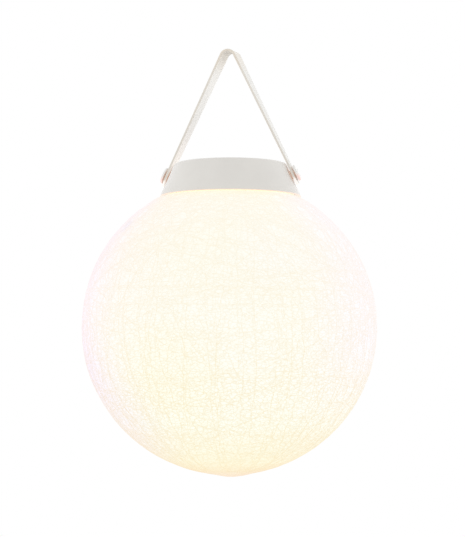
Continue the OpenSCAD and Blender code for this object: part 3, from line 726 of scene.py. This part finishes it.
def skin_material(ball):
    """Inner layers of glued thread, bright between the threads that lie on them."""
    made = new_material("glued_cotton_skin", SKIN_COLOR, roughness=0.8, Emission_Strength=ball.glow)
    light = mix_colors(made, 1.0, glow_color(made), SKIN_SHARE, "MULTIPLY")
    join(made, light, shader_of(made).inputs["Emission Color"])
    grain(made, size=0.9 * MM, depth=0.12 * MM)
    return made


def thread_material(name, ball, colors):
    """Cotton thread lit from behind: a matt fuzzy surface that lets some of the glow through."""
    color, bright, dim = colors
    made = new_material(name, color, roughness=0.9, Emission_Strength=ball.glow,
                        Sheen_Weight=0.1, Sheen_Roughness=0.5)
    tone = add(made, "ShaderNodeAttribute", attribute_name="tone")
    tint = mix_colors(made, tone.outputs["Fac"], dim, bright)
    tint = mix_colors(made, contrast(made), PLAIN_GLOW, tint)
    light = mix_colors(made, 1.0, glow_color(made), tint, "MULTIPLY")
    join(made, light, shader_of(made).inputs["Emission Color"])
    grain(made, size=0.22 * MM, depth=0.03 * MM)
    return made


def keep_threads(name, threads, sides, cotton):
    """Makes one piece of threads, which turns with the ball."""
    made = join_tubes(name, threads, sides)
    made.data.materials.append(cotton)
    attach(made, "globe")


class OBJECT_OT_lamp_ball_skin(bpy.types.Operator):
    """Make the glowing inner layers of the ball"""

    bl_idname = "object.lamp_ball_skin"
    bl_label = "Ball Skin"

    def execute(self, context):
        ball = context.scene.lamp_ball
        outer = BALL_R - ball.skin_depth
        made = mesh_object("ball_skin", *self.shell(outer, outer - ball.skin_wall))
        made.data.materials.append(skin_material(ball))
        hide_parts("shade")
        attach(made, "globe")
        return {"FINISHED"}

    def shell(self, outer, inner):
        """Points and faces of a hollow ball that is open at the mouth, from its outer and inner radius."""
        rows = []
        for radius, way in ((outer, 1), (inner, -1)):
            open_angle = math.acos((MOUTH_Z - BALL_Z) / radius)
            angles = np.linspace(open_angle, math.pi - POLE_GAP, SKIN_RINGS)[::way]
            rows += [(radius * math.sin(a), radius * math.cos(a) + BALL_Z) for a in angles]
        turns = np.linspace(0, 2 * math.pi, SKIN_COLUMNS, endpoint=False)
        points = np.array([[r * math.cos(t), r * math.sin(t), z] for r, z in rows for t in turns])
        points[:, 0] += BALL_MIDDLE[0]
        row = np.arange(len(rows))[:, None] * SKIN_COLUMNS
        below = np.roll(row, -1, axis=0)
        col = np.arange(SKIN_COLUMNS)[None, :]
        right = (col + 1) % SKIN_COLUMNS
        quads = np.stack([row + col, below + col, below + right, row + right], axis=-1)
        quads = np.delete(quads, SKIN_RINGS - 1, axis=0).reshape(-1, 4)
        outer_pole = (SKIN_RINGS - 1) * SKIN_COLUMNS + col[:, ::-1]
        inner_pole = SKIN_RINGS * SKIN_COLUMNS + col
        return points, [quads, outer_pole, inner_pole]


class OBJECT_OT_lamp_fine_threads(bpy.types.Operator):
    """Wind the lower layer of fine thread"""

    bl_idname = "object.lamp_fine_threads"
    bl_label = "Fine Threads"

    def execute(self, context):
        ball = context.scene.lamp_ball
        rng = np.random.default_rng(ball.seed)
        cotton = thread_material("fine_cotton_thread", ball, FINE_COLORS)
        heights = (-ball.skin_depth + FINE_CLEARANCE, FINE_TOP)
        for layer in range(FINE_LAYERS):
            turns = random_turns(rng, ball.fine_turns // FINE_LAYERS, FINE_OFFSET)
            threads = wind(rng, turns, heights, ball.fine_diameter, FINE_WAVES)
            keep_threads(f"fine_threads_{layer + 1}", threads, FINE_SIDES, cotton)
        return {"FINISHED"}


class OBJECT_OT_lamp_yarn_threads(bpy.types.Operator):
    """Wind the upper layer of yarn, the turns from pole to pole and the level bands"""

    bl_idname = "object.lamp_yarn_threads"
    bl_label = "Yarn"

    def execute(self, context):
        ball = context.scene.lamp_ball
        rng = np.random.default_rng(ball.seed + 1)
        yarn = thread_material("cotton_yarn_upper", ball, YARN_COLORS)
        outer = thread_material("cotton_yarn_outer", ball, OUTER_COLORS)
        self.wind_yarn(rng, ball, yarn)
        self.wind_poles(rng, ball, outer)
        self.wind_bands(rng, ball, yarn)
        return {"FINISHED"}

    def wind_yarn(self, rng, ball, cotton):
        """Turns in all directions, half of them shallow, kept as three pieces."""
        steep = ball.yarn_turns // 2
        turns = random_turns(rng, steep, YARN_OFFSET) + shallow_turns(rng, ball.yarn_turns - steep)
        threads = wind(rng, turns, YARN_HEIGHTS, ball.yarn_diameter, YARN_WAVES)
        third = len(threads) // 3
        for i, bundle in enumerate((threads[:third], threads[third:2 * third], threads[2 * third:])):
            keep_threads(f"yarn_threads_{i + 1}", bundle, YARN_SIDES, cotton)

    def wind_poles(self, rng, ball, cotton):
        """Turns through both poles, evenly round the ball."""
        turns = []
        for i in range(ball.pole_turns):
            angle = math.pi * (i + rng.uniform(-POLE_SHIFT, POLE_SHIFT)) / ball.pole_turns
            axis = (math.cos(angle), math.sin(angle), rng.normal(0, POLE_LEAN))
            turns.append((axis, rng.normal(0, POLE_OFFSET)))
        threads = wind(rng, turns, POLE_HEIGHTS, POLE_DIAMETER, POLE_WAVES, POLE_SINK)
        keep_threads("pole_threads", threads, YARN_SIDES, cotton)

    def wind_bands(self, rng, ball, cotton):
        """Turns side by side in each level band."""
        turns = []
        for level, lean in BANDS:
            for _ in range(ball.band_turns):
                axis = (lean + rng.normal(0, BAND_LEAN), rng.normal(0, BAND_LEAN), 1)
                turns.append((axis, level / BALL_R + rng.normal(0, BAND_OFFSET)))
        threads = wind(rng, turns, BAND_HEIGHTS, BAND_DIAMETER, BAND_WAVES)
        keep_threads("band_threads", threads, YARN_SIDES, cotton)


# Strap

HINGES = ((-HINGE_X, 0, HINGE.z), (HINGE_X, 0, HINGE.z))
# Painted shade along the cut edges, as a darker, warmer base colour, and a warmer top bend
EDGE_PAINTED_SHADE = (0.94, 0.90, 0.85)
BEND_TINT = (1.0, 0.965, 0.925)
# Painted light as a glow on the legs' inner faces, stronger low down, and in the gaps by the knobs
INNER_PAINTED_LIGHT = (0.17, 0.163, 0.16)
LOW_PAINTED_LIGHT = (0.315, 0.283, 0.268)
GAP_PAINTED_LIGHT = (0.13, 0.06, 0.03)
# Where each of them sets in and is full, by distance from the cut edge or by height
EDGE_SHADE_FADE = (0.7 * MM, 0.2 * MM)
BEND_FADE = (-16 * MM, -6 * MM)
LEG_FADE = (8 * MM, -20 * MM)
LOW_FADE = (-40 * MM, -70 * MM)
# The same by how far a face looks down, and by distance behind the middle of a tab
INNER_FADE = (-0.1, -0.35)
BEHIND_FADE = (-0.3 * MM, -0.6 * MM)
# Radii round a knob that the painted light in the gap fills and ends at
STRAP_GAP = (4 * MM, 6.5 * MM)
# Steps across and along the strap, steps of a tab's side and round end, and rings round its hole
ACROSS_STEPS = 8
ROW_STEP = 1.2 * MM
SIDE_STEPS = 6
ROUND_STEPS = 20
HOLE_RINGS = 4


def strap_route(strap):
    """Where the strap's middle is in its side view, and which way is outward, at a length above its hinge."""
    half = strap.thickness / 2
    outward = np.array([math.cos(SLOPE), math.sin(SLOPE)])
    upward = np.array([-math.sin(SLOPE), math.cos(SLOPE)])
    hinge = np.array([STRAP_HIGH.x, HINGE.z]) - [strap.tail * math.sin(SLOPE) + half * math.cos(SLOPE), 0]
    flat_end = hinge + strap.flat * upward
    bend = np.array([0, half - strap.bend])
    away = flat_end[0], bend[1] - flat_end[1]
    tilt = math.atan2(*away) - math.asin(strap.bend / math.hypot(*away))
    leg_out = np.array([math.cos(tilt), math.sin(tilt)])
    leg_end = bend + strap.bend * leg_out
    leg = float(np.linalg.norm(leg_end - flat_end))
    arc = strap.bend * (math.pi / 2 - tilt)

    def place(along):
        if along <= strap.flat:
            return hinge + along * upward, outward
        along -= strap.flat
        if along <= leg:
            return flat_end + (leg_end - flat_end) * along / leg, leg_out
        turn = tilt + (along - leg) / strap.bend
        out = np.array([math.cos(turn), math.sin(turn)])
        return bend + strap.bend * out, out

    return place, strap.flat + leg + arc


def tab_outline(strap):
    """The outline of a tab laid flat, as points (along, across) from its straight end round and back."""
    half = strap.width / 2
    foot = half - strap.tail
    line = [(strap.flat, w) for w in np.linspace(-half, half, ACROSS_STEPS + 1)]
    side = [(strap.flat + (foot - strap.flat) * i / SIDE_STEPS, half) for i in range(1, SIDE_STEPS)]
    end = [(foot - half * math.sin(a), half * math.cos(a)) for a in np.linspace(0, math.pi, ROUND_STEPS + 1)]
    return line + side + end + [(s, -w) for s, w in reversed(side)]


def tab_sheet(strap):
    """A tab laid flat, in rings from its outline to its hole: points (along, across) and quads."""
    outer = tab_outline(strap)
    hole = strap.hole / 2
    count = len(outer)
    points, quads = [], []
    for ring in range(HOLE_RINGS):
        share = (1 - math.cos(math.pi * ring / (HOLE_RINGS - 1))) / 2
        for s, w in outer:
            away = math.hypot(s, w)
            hole_point = (hole * s / away, hole * w / away)
            points.append((s + share * (hole_point[0] - s), w + share * (hole_point[1] - w)))
    for ring in range(HOLE_RINGS - 1):
        for i in range(count):
            j = (i + 1) % count
            quads.append((ring * count + i, ring * count + j, (ring + 1) * count + j, (ring + 1) * count + i))
    return points, quads


def band_sheet(strap, reach):
    """The whole strap laid flat from one tab to the other: points (along, across) and quads."""
    tab, tab_quads = tab_sheet(strap)
    points = [(2 * reach - s, w) for s, w in tab] + list(tab)
    quads = [tuple(reversed(q)) for q in tab_quads] + [tuple(i + len(tab) for i in q) for q in tab_quads]
    across = np.linspace(-strap.width / 2, strap.width / 2, ACROSS_STEPS + 1)
    rows = 2 * int((reach - strap.flat) / ROW_STEP)
    grid = [[len(tab) + c for c in range(ACROSS_STEPS + 1)]]
    for row in range(1, rows):
        along = strap.flat + 2 * (reach - strap.flat) * row / rows
        grid.append([len(points) + c for c in range(ACROSS_STEPS + 1)])
        points += [(along, w) for w in across]
    grid.append(list(range(ACROSS_STEPS + 1)))
    for low, high in zip(grid, grid[1:]):
        quads += [(low[c], high[c], high[c + 1], low[c + 1]) for c in range(ACROSS_STEPS)]
    return points, quads


class OBJECT_OT_lamp_strap(bpy.types.Operator):
    """Make the strap, twisted a little towards its top"""

    bl_idname = "object.lamp_strap"
    bl_label = "Strap"

    def execute(self, context):
        strap = context.scene.lamp_strap
        place, reach = strap_route(strap)
        flat, quads = band_sheet(strap, reach)
        made = self.fold(flat, quads, place, reach, strap)
        edge = made.modifiers.new("edge", "BEVEL")
        edge.width = strap.edge
        edge.segments = 3
        edge.limit_method = "ANGLE"
        edge.angle_limit = math.radians(50)
        made.data.materials.append(self.material(strap))
        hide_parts("strap")
        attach(made, "strap")
        return {"FINISHED"}

    def material(self, strap):
        """Pale plastic with painted shade along its cut edges, warmer at the top bend, and painted light on
        its inner faces and in the gaps by the knobs.
        """
        band = moulded_plastic("strap_plastic", tuple(strap.color), roughness=0.5)
        height = component(band, object_point(band), "Z")
        aside = calculate(band, "ABSOLUTE", component(band, object_point(band), "Y"))
        # Painted shade along the cut edges
        start, full = (strap.width / 2 - fade for fade in EDGE_SHADE_FADE)
        tint_base(band, spread(band, aside, start, full), EDGE_PAINTED_SHADE)
        tint_base(band, spread(band, height, *BEND_FADE), BEND_TINT)
        # Painted light: a glow on faces that look down, stronger low on the legs, and in the gaps behind the
        # tabs
        facing = component(band, add(band, "ShaderNodeTexCoord").outputs["Normal"], "Z")
        inner = spread(band, facing, *INNER_FADE)
        leg = both(band, inner, spread(band, height, *LEG_FADE))
        low = both(band, inner, spread(band, height, *LOW_FADE))
        behind = spread(band, off_slope(band), *BEHIND_FADE)
        gaps = [both(band, near(band, place, *STRAP_GAP), behind) for place in HINGES]
        warm(band, (leg, INNER_PAINTED_LIGHT), (low, LOW_PAINTED_LIGHT), *((gap, GAP_PAINTED_LIGHT) for gap in gaps))
        return band

    def fold(self, flat, quads, place, reach, strap):
        """A solid of the strap's thickness, laid along its route and twisted about the vertical."""
        solid = bmesh.new()
        layers = []
        for lift in (strap.thickness / 2, -strap.thickness / 2):
            layer = []
            for along, across in flat:
                side = 1 if along <= reach else -1
                spot, out = place(min(along, 2 * reach - along))
                x, z = spot + lift * out
                turn = strap.twist * max(0.0, (z - HINGE.z) / -HINGE.z)
                point = (side * x - across * math.sin(turn), across * math.cos(turn), z)
                layer.append(solid.verts.new(point))
            layers.append(layer)
        for quad in quads:
            solid.faces.new([layers[0][i] for i in quad])
            solid.faces.new([layers[1][i] for i in reversed(quad)])
        self.close_sides(solid, *layers)
        bmesh.ops.recalc_face_normals(solid, faces=solid.faces)
        for face in solid.faces:
            face.smooth = True
        mesh = bpy.data.meshes.new("strap_band")
        solid.to_mesh(mesh)
        solid.free()
        made = bpy.data.objects.new("strap_band", mesh)
        bpy.context.scene.collection.objects.link(made)
        return made

    def close_sides(self, solid, outer, inner):
        """Faces between the edges of the outer and the inner layer, which have their points in one order."""
        order = {vert: i for i, vert in enumerate(outer)}
        for edge in [edge for edge in solid.edges if edge.is_boundary]:
            if edge.verts[0] in order:
                a, b = (order[vert] for vert in edge.verts)
                solid.faces.new([outer[a], outer[b], inner[b], inner[a]])


# Housing

COLLAR_SHEEN = 1.0
SHEEN_ROUGHNESS = 0.3
# The rim's painted warm light, as a warmer base colour and a glow, by shares of its height
RIM_HEIGHT = 1 * MM
RIM_FADE = (0.6, 0.1)
RIM_LIGHT_TINT = (1.0, 0.92, 0.84)
RIM_PAINTED_LIGHT = (0.26, 0.12, 0.05)
# The knobs' painted warm light on their lower part, as a warmer base colour and a glow, by shares of their
# height
KNOB_FADE = (0.5, 0.2)
KNOB_LIGHT_TINT = (1.0, 0.87, 0.83)
KNOB_PAINTED_LIGHT = (0.14, 0.02, 0.01)
# Painted light in the gap: radii round a knob on the collar, and distance of the knob's back from the slope
COLLAR_GAP = (4.5 * MM, 6.5 * MM)
KNOB_GAP = (2.1 * MM, 1.8 * MM)
# Solar cells: strips, pitch and width of their silver lines, and where a line fades in shares of its width
CELL_STRIPS = 4
FINGER_PITCH, FINGER_WIDTH = 1.7 * MM, 0.12 * MM
BAR_WIDTH = 0.5 * MM
LINE_BLEND = (0.6, 0.4)
SILVER = (0.30, 0.31, 0.33)


class OBJECT_OT_lamp_housing(bpy.types.Operator):
    """Give the collar, knobs, button and solar panel their finishes, and paint warm light on the collar's
    rim, the knobs and the gaps by them
    """

    bl_idname = "object.lamp_housing"
    bl_label = "Housing"

    def execute(self, context):
        housing = context.scene.lamp_housing
        collar = moulded_plastic("collar_plastic", tuple(housing.color))
        shader_of(collar).inputs["Sheen Weight"].default_value = COLLAR_SHEEN
        shader_of(collar).inputs["Sheen Roughness"].default_value = SHEEN_ROUGHNESS
        # Painted warm light on the rim and in the gaps by the knobs
        rim = spread(collar, height_along(collar, COLLAR_LOW.z, COLLAR_LOW.z + RIM_HEIGHT), *RIM_FADE)
        tint_base(collar, rim, RIM_LIGHT_TINT)
        gaps = [near(collar, place, *COLLAR_GAP) for place in HINGES]
        warm(collar, *((gap, GAP_PAINTED_LIGHT) for gap in gaps), (rim, RIM_PAINTED_LIGHT))
        dress("collar", collar)
        knob = moulded_plastic("knob_plastic", tuple(housing.knob_color), roughness=0.38)
        # Painted warm light on the knobs' lower part and behind them in the gap
        low = spread(knob, height_along(knob, KNOB_LOW.z, KNOB_HIGH.z), *KNOB_FADE)
        tint_base(knob, low, KNOB_LIGHT_TINT)
        warm(knob, (low, KNOB_PAINTED_LIGHT), (spread(knob, off_slope(knob), *KNOB_GAP), GAP_PAINTED_LIGHT))
        dress("knob_left", knob)
        dress("knob_right", knob)
        dress("power_button", moulded_plastic("button_plastic", (0.60, 0.59, 0.57)))
        dress("button_ring", moulded_plastic("soft_ring", (0.2, 0.2, 0.2), roughness=0.7))
        laminate = lacquer("panel_laminate", (0.012, 0.014, 0.02), roughness=0.5, patch=4 * MM)
        dress("panel_back", laminate)
        dress("solar_cells", self.silicon())
        cover = new_material("panel_resin", (0.9, 0.93, 1.0), roughness=0.08,
                             Transmission_Weight=1.0, IOR=1.45)
        grain(cover, size=5 * MM, depth=0.02 * MM)
        dress("panel_cover", cover)
        return {"FINISHED"}

    def silicon(self):
        """Dark silicon with fine silver fingers across each strip and one wider bar along it."""
        made = lacquer("silicon_cell", (0.006, 0.012, 0.045), roughness=0.25, patch=2.5 * MM)
        strip = (CELLS_HIGH.x - CELLS_LOW.x) / CELL_STRIPS
        fingers = self.lines(made, "Y", FINGER_PITCH, FINGER_WIDTH)
        bars = self.lines(made, "X", strip, BAR_WIDTH)
        base = shader_of(made).inputs["Base Color"]
        for lines in (fingers, bars):
            join(made, mix_colors(made, lines, base.links[0].from_socket, SILVER), base)
        return made

    def lines(self, made, axis, pitch, width):
        """1 on lines square to an axis, a pitch apart, half a pitch off the cells' edge."""
        start = getattr(CELLS_LOW, axis.lower()) + pitch / 2
        away = calculate(made, "SUBTRACT", component(made, object_point(made), axis), start)
        fold = calculate(made, "PINGPONG", away, pitch / 2)
        return spread(made, fold, *(width * share for share in LINE_BLEND))


# Inside

INNER_WHITE = (0.80, 0.80, 0.77)
# Painted light of the lamp's own chips, as a glow on the pieces in the ball's mouth, up to a height over the
# rim
BASE_PAINTED_LIGHT = (0.85, 0.55, 0.28)
BASE_PAINTED_LIGHT_RISE = 3 * MM
PHOSPHOR = (0.9, 0.7, 0.2)
DOME_COLOR = (0.85, 0.80, 0.70)


class OBJECT_OT_lamp_inside(bpy.types.Operator):
    """Give the pieces inside the housing their finishes"""

    bl_idname = "object.lamp_inside"
    bl_label = "Inside"

    def execute(self, context):
        white = moulded_plastic("inner_plastic", INNER_WHITE)
        # The pieces in the ball's mouth get painted light of the chips as a glow
        lit = moulded_plastic("inner_plastic_painted_light", INNER_WHITE)
        rise = height_along(lit, SHADE_HIGH.z, COLLAR_LOW.z + BASE_PAINTED_LIGHT_RISE)
        warm(lit, (spread(lit, rise, 1.0, 0.0), BASE_PAINTED_LIGHT))
        steel = plated_steel("plated_steel", (0.55, 0.55, 0.56))
        rubber = moulded_plastic("seal_rubber", (0.06, 0.06, 0.062), roughness=0.75)
        black = moulded_plastic("component_black", (0.02, 0.02, 0.022))
        wire = lacquer("wire_insulation", (0.45, 0.02, 0.015), roughness=0.35, patch=2 * MM)
        board = lacquer("board_lacquer", (0.02, 0.12, 0.05), roughness=0.3, patch=2 * MM)
        foam = moulded_plastic("foam_tape", (0.82, 0.82, 0.80), roughness=0.9,
                               stipple=0.4 * MM, depth=0.1 * MM)
        jacket = lacquer("cell_jacket", (0.02, 0.13, 0.04), roughness=0.3, patch=8 * MM)
        white_board = lacquer("white_board_lacquer", (0.82, 0.82, 0.79), roughness=0.3, patch=3 * MM)
        finishes = {
            "knob_washers": steel, "knob_nuts": steel, "board_screws": steel, "base_screws": steel,
            "battery_contact_plus": steel, "battery_contact_minus": steel, "battery_door_screws": steel,
            "light_board_screws": steel,
            "panel_pad": foam, "panel_leads": wire, "light_leads": wire,
            "circuit_board": board, "board_parts": black, "push_switch": black,
            "switch_plunger": white, "base_plate": lit, "battery_door": lit, "neck_ring": lit,
            "base_seal": rubber, "battery_door_seal": rubber,
            "battery": jacket, "light_board": white_board,
        }
        for node, made in finishes.items():
            dress(node, made)
        self.dress_light()
        return {"FINISHED"}

    def dress_light(self):
        """Lit phosphor on the chips, and a frosted dome that spreads their light."""
        chips = new_material("phosphor", PHOSPHOR, roughness=0.5, Emission_Strength=2.0)
        shader_of(chips).inputs["Emission Color"].default_value = (1.0, 0.62, 0.25, 1)
        mottle(chips, PHOSPHOR, amount=0.1, size=1 * MM)
        dress("light_chips", chips)
        dome = new_material("frosted_dome", DOME_COLOR, roughness=0.6, Emission_Strength=1.0)
        shader_of(dome).inputs["Emission Color"].default_value = (1.0, 0.80, 0.50, 1)
        mottle(dome, DOME_COLOR, amount=0.04, size=4 * MM)
        grain(dome, size=0.4 * MM, depth=0.03 * MM)
        dress("light_dome", dome)


# Stage

# The camera's aim from the ball's middle
AIM_RIGHT, AIM_UP = 1.4 * MM, 39.35 * MM
# The floor, and the distances over which it fades
FLOOR_RADIUS = 1.3
FLOOR_FADE = (0.35, 1.15)
FLOOR_COLOR = (0.86, 0.86, 0.855)
# Name, place, size in metres, power in watts and colour
SOFTBOXES = (
    ("softbox_front", (-0.9, -1.9, 0.6), 1.4, 1.5, (0.97, 0.985, 1.0)),
    ("softbox_back", (0.3, 1.8, 0.9), 1.4, 2.0, (1.0, 1.0, 1.0)),
)


def white_rays(made):
    """1 for rays that see the background directly, in a mirror or through glass."""
    path = add(made, "ShaderNodeLightPath")
    seen = calculate(made, "MAXIMUM", path.outputs["Is Camera Ray"], path.outputs["Is Glossy Ray"])
    return calculate(made, "MAXIMUM", seen, path.outputs["Is Transmission Ray"])


class OBJECT_OT_lamp_stage(bpy.types.Operator):
    """Set up the floor, the background, the lights and the camera"""

    bl_idname = "object.lamp_stage"
    bl_label = "Stage"

    def execute(self, context):
        stage = context.scene.lamp_stage
        self.make_world(context, stage)
        self.make_floor(stage)
        self.make_lights()
        self.make_camera(context, stage)
        context.scene.view_settings.view_transform = "Standard"
        return {"FINISHED"}

    def side_light(self, world, stage):
        """The strength of the studio's light in each direction: most from the two sides."""
        side = add(world, "ShaderNodeVectorMath", operation="DOT_PRODUCT")
        side.inputs[1].default_value = (math.cos(stage.azimuth), math.sin(stage.azimuth), 0)
        join(world, add(world, "ShaderNodeTexCoord").outputs["Generated"], side.inputs[0])
        square = calculate(world, "MULTIPLY", side.outputs["Value"], side.outputs["Value"])
        return calculate(world, "MULTIPLY_ADD", square, stage.side_light, stage.light)

    def make_world(self, context, stage):
        """Soft light from all round, and plain white where the background itself is seen."""
        world = bpy.data.worlds.new("studio")
        context.scene.world = world
        world.use_nodes = True
        nodes = world.node_tree.nodes
        plain = nodes["Background"]
        plain.inputs["Color"].default_value = (1, 1, 1, 1)
        join(world, self.side_light(world, stage), plain.inputs["Strength"])
        white = add(world, "ShaderNodeBackground", Color=(1, 1, 1, 1), Strength=1.0)
        sky = mix_shaders(world, white_rays(world), plain.outputs[0], white.outputs[0])
        join(world, sky, nodes["World Output"].inputs["Surface"])

    def make_floor(self, stage):
        """A round floor under the lamp, which fades into the background."""
        rings, columns = 24, 96
        turns = np.linspace(0, 2 * math.pi, columns, endpoint=False)
        points = [[0, 0, -stage.floor_drop]]
        for ring in range(1, rings + 1):
            reach = FLOOR_RADIUS * ring / rings
            points += [[reach * math.cos(t), reach * math.sin(t), -stage.floor_drop] for t in turns]
        col = np.arange(columns)
        right = (col + 1) % columns
        middle = np.stack([np.zeros(columns, int), 1 + col, 1 + right], axis=-1)
        here = 1 + columns * np.arange(rings - 1)[:, None]
        there = here + columns
        quads = np.stack([here + col, there + col, there + right, here + right], axis=-1)
        floor = mesh_object("floor", points, [middle, quads.reshape(-1, 4)])
        floor.data.materials.append(self.floor_material())

    def floor_material(self):
        """Pale matt paint that turns clear outward, or white where the background itself is seen."""
        made = bpy.data.materials.new("pale_floor")
        made.use_nodes = True
        shader = shader_of(made)
        shader.inputs["Base Color"].default_value = (*FLOOR_COLOR, 1)
        shader.inputs["Roughness"].default_value = 0.9
        white = add(made, "ShaderNodeEmission")
        clear = add(made, "ShaderNodeBsdfTransparent")
        length = add(made, "ShaderNodeVectorMath", operation="LENGTH")
        join(made, object_point(made, (1, 1, 0)), length.inputs[0])
        fade = spread(made, length.outputs["Value"], *FLOOR_FADE)
        outside = mix_shaders(made, white_rays(made), clear.outputs[0], white.outputs[0])
        surface = mix_shaders(made, fade, shader.outputs[0], outside)
        join(made, surface, made.node_tree.nodes["Material Output"].inputs["Surface"])
        return made

    def make_lights(self):
        """Two wide softboxes that face the collar."""
        aim = Vector((0, 0, COLLAR_LOW.z))
        for name, place, size, power, color in SOFTBOXES:
            data = bpy.data.lights.new(name, "AREA")
            data.shape = "SQUARE"
            data.size = size
            data.energy = power
            data.color = color
            lamp = bpy.data.objects.new(name, data)
            lamp.location = place
            lamp.rotation_mode = "QUATERNION"
            lamp.rotation_quaternion = (aim - lamp.location).to_track_quat("-Z", "Y")
            bpy.context.scene.collection.objects.link(lamp)

    def make_camera(self, context, stage):
        """A long lens from the photo's side, a little below the ball's middle."""
        data = bpy.data.cameras.new("camera")
        data.sensor_fit = "AUTO"
        data.sensor_width = 36
        data.lens = stage.lens
        data.clip_start = 0.05
        data.clip_end = 50
        camera = bpy.data.objects.new("camera", data)
        a, e = stage.azimuth, stage.elevation
        back = Vector((math.sin(a) * math.cos(e), -math.cos(a) * math.cos(e), math.sin(e)))
        right = Vector((math.cos(a), math.sin(a), 0))
        up = back.cross(right)
        middle = Vector((0, 0, BALL_Z))
        camera.location = middle + back * stage.distance
        aim = middle + right * AIM_RIGHT + up * AIM_UP
        camera.rotation_mode = "QUATERNION"
        camera.rotation_quaternion = (aim - camera.location).to_track_quat("-Z", "Y")
        context.scene.collection.objects.link(camera)
        context.scene.camera = camera


# Panel and registration

OPERATORS = (
    OBJECT_OT_lamp_stage,
    OBJECT_OT_lamp_ball_skin,
    OBJECT_OT_lamp_fine_threads,
    OBJECT_OT_lamp_yarn_threads,
    OBJECT_OT_lamp_strap,
    OBJECT_OT_lamp_housing,
    OBJECT_OT_lamp_inside,
)
GROUPS = {
    "lamp_ball": LampBall,
    "lamp_strap": LampStrap,
    "lamp_housing": LampHousing,
    "lamp_stage": LampStage,
}


class VIEW3D_PT_lamp(bpy.types.Panel):
    """Lists the lamp's pieces and what can be changed"""

    bl_label = "Cotton Ball Lamp"
    bl_idname = "VIEW3D_PT_lamp"
    bl_space_type = "VIEW_3D"
    bl_region_type = "UI"
    bl_category = "Lamp"

    def draw(self, context):
        layout = self.layout
        for operator in OPERATORS:
            layout.operator(operator.bl_idname)
        for name, group in GROUPS.items():
            box = layout.box()
            for key in group.__annotations__:
                box.prop(getattr(context.scene, name), key)


def register():
    for name, group in GROUPS.items():
        bpy.utils.register_class(group)
        setattr(bpy.types.Scene, name, PointerProperty(type=group))
    for operator in OPERATORS:
        bpy.utils.register_class(operator)
    bpy.utils.register_class(VIEW3D_PT_lamp)


def unregister():
    bpy.utils.unregister_class(VIEW3D_PT_lamp)
    for operator in reversed(OPERATORS):
        bpy.utils.unregister_class(operator)
    for name, group in reversed(GROUPS.items()):
        delattr(bpy.types.Scene, name)
        bpy.utils.unregister_class(group)


def main():
    register()
    bpy.ops.object.lamp_stage()
    bpy.ops.object.lamp_ball_skin()
    bpy.ops.object.lamp_fine_threads()
    bpy.ops.object.lamp_yarn_threads()
    bpy.ops.object.lamp_strap()
    bpy.ops.object.lamp_housing()
    bpy.ops.object.lamp_inside()


if __name__ == "__main__":
    main()
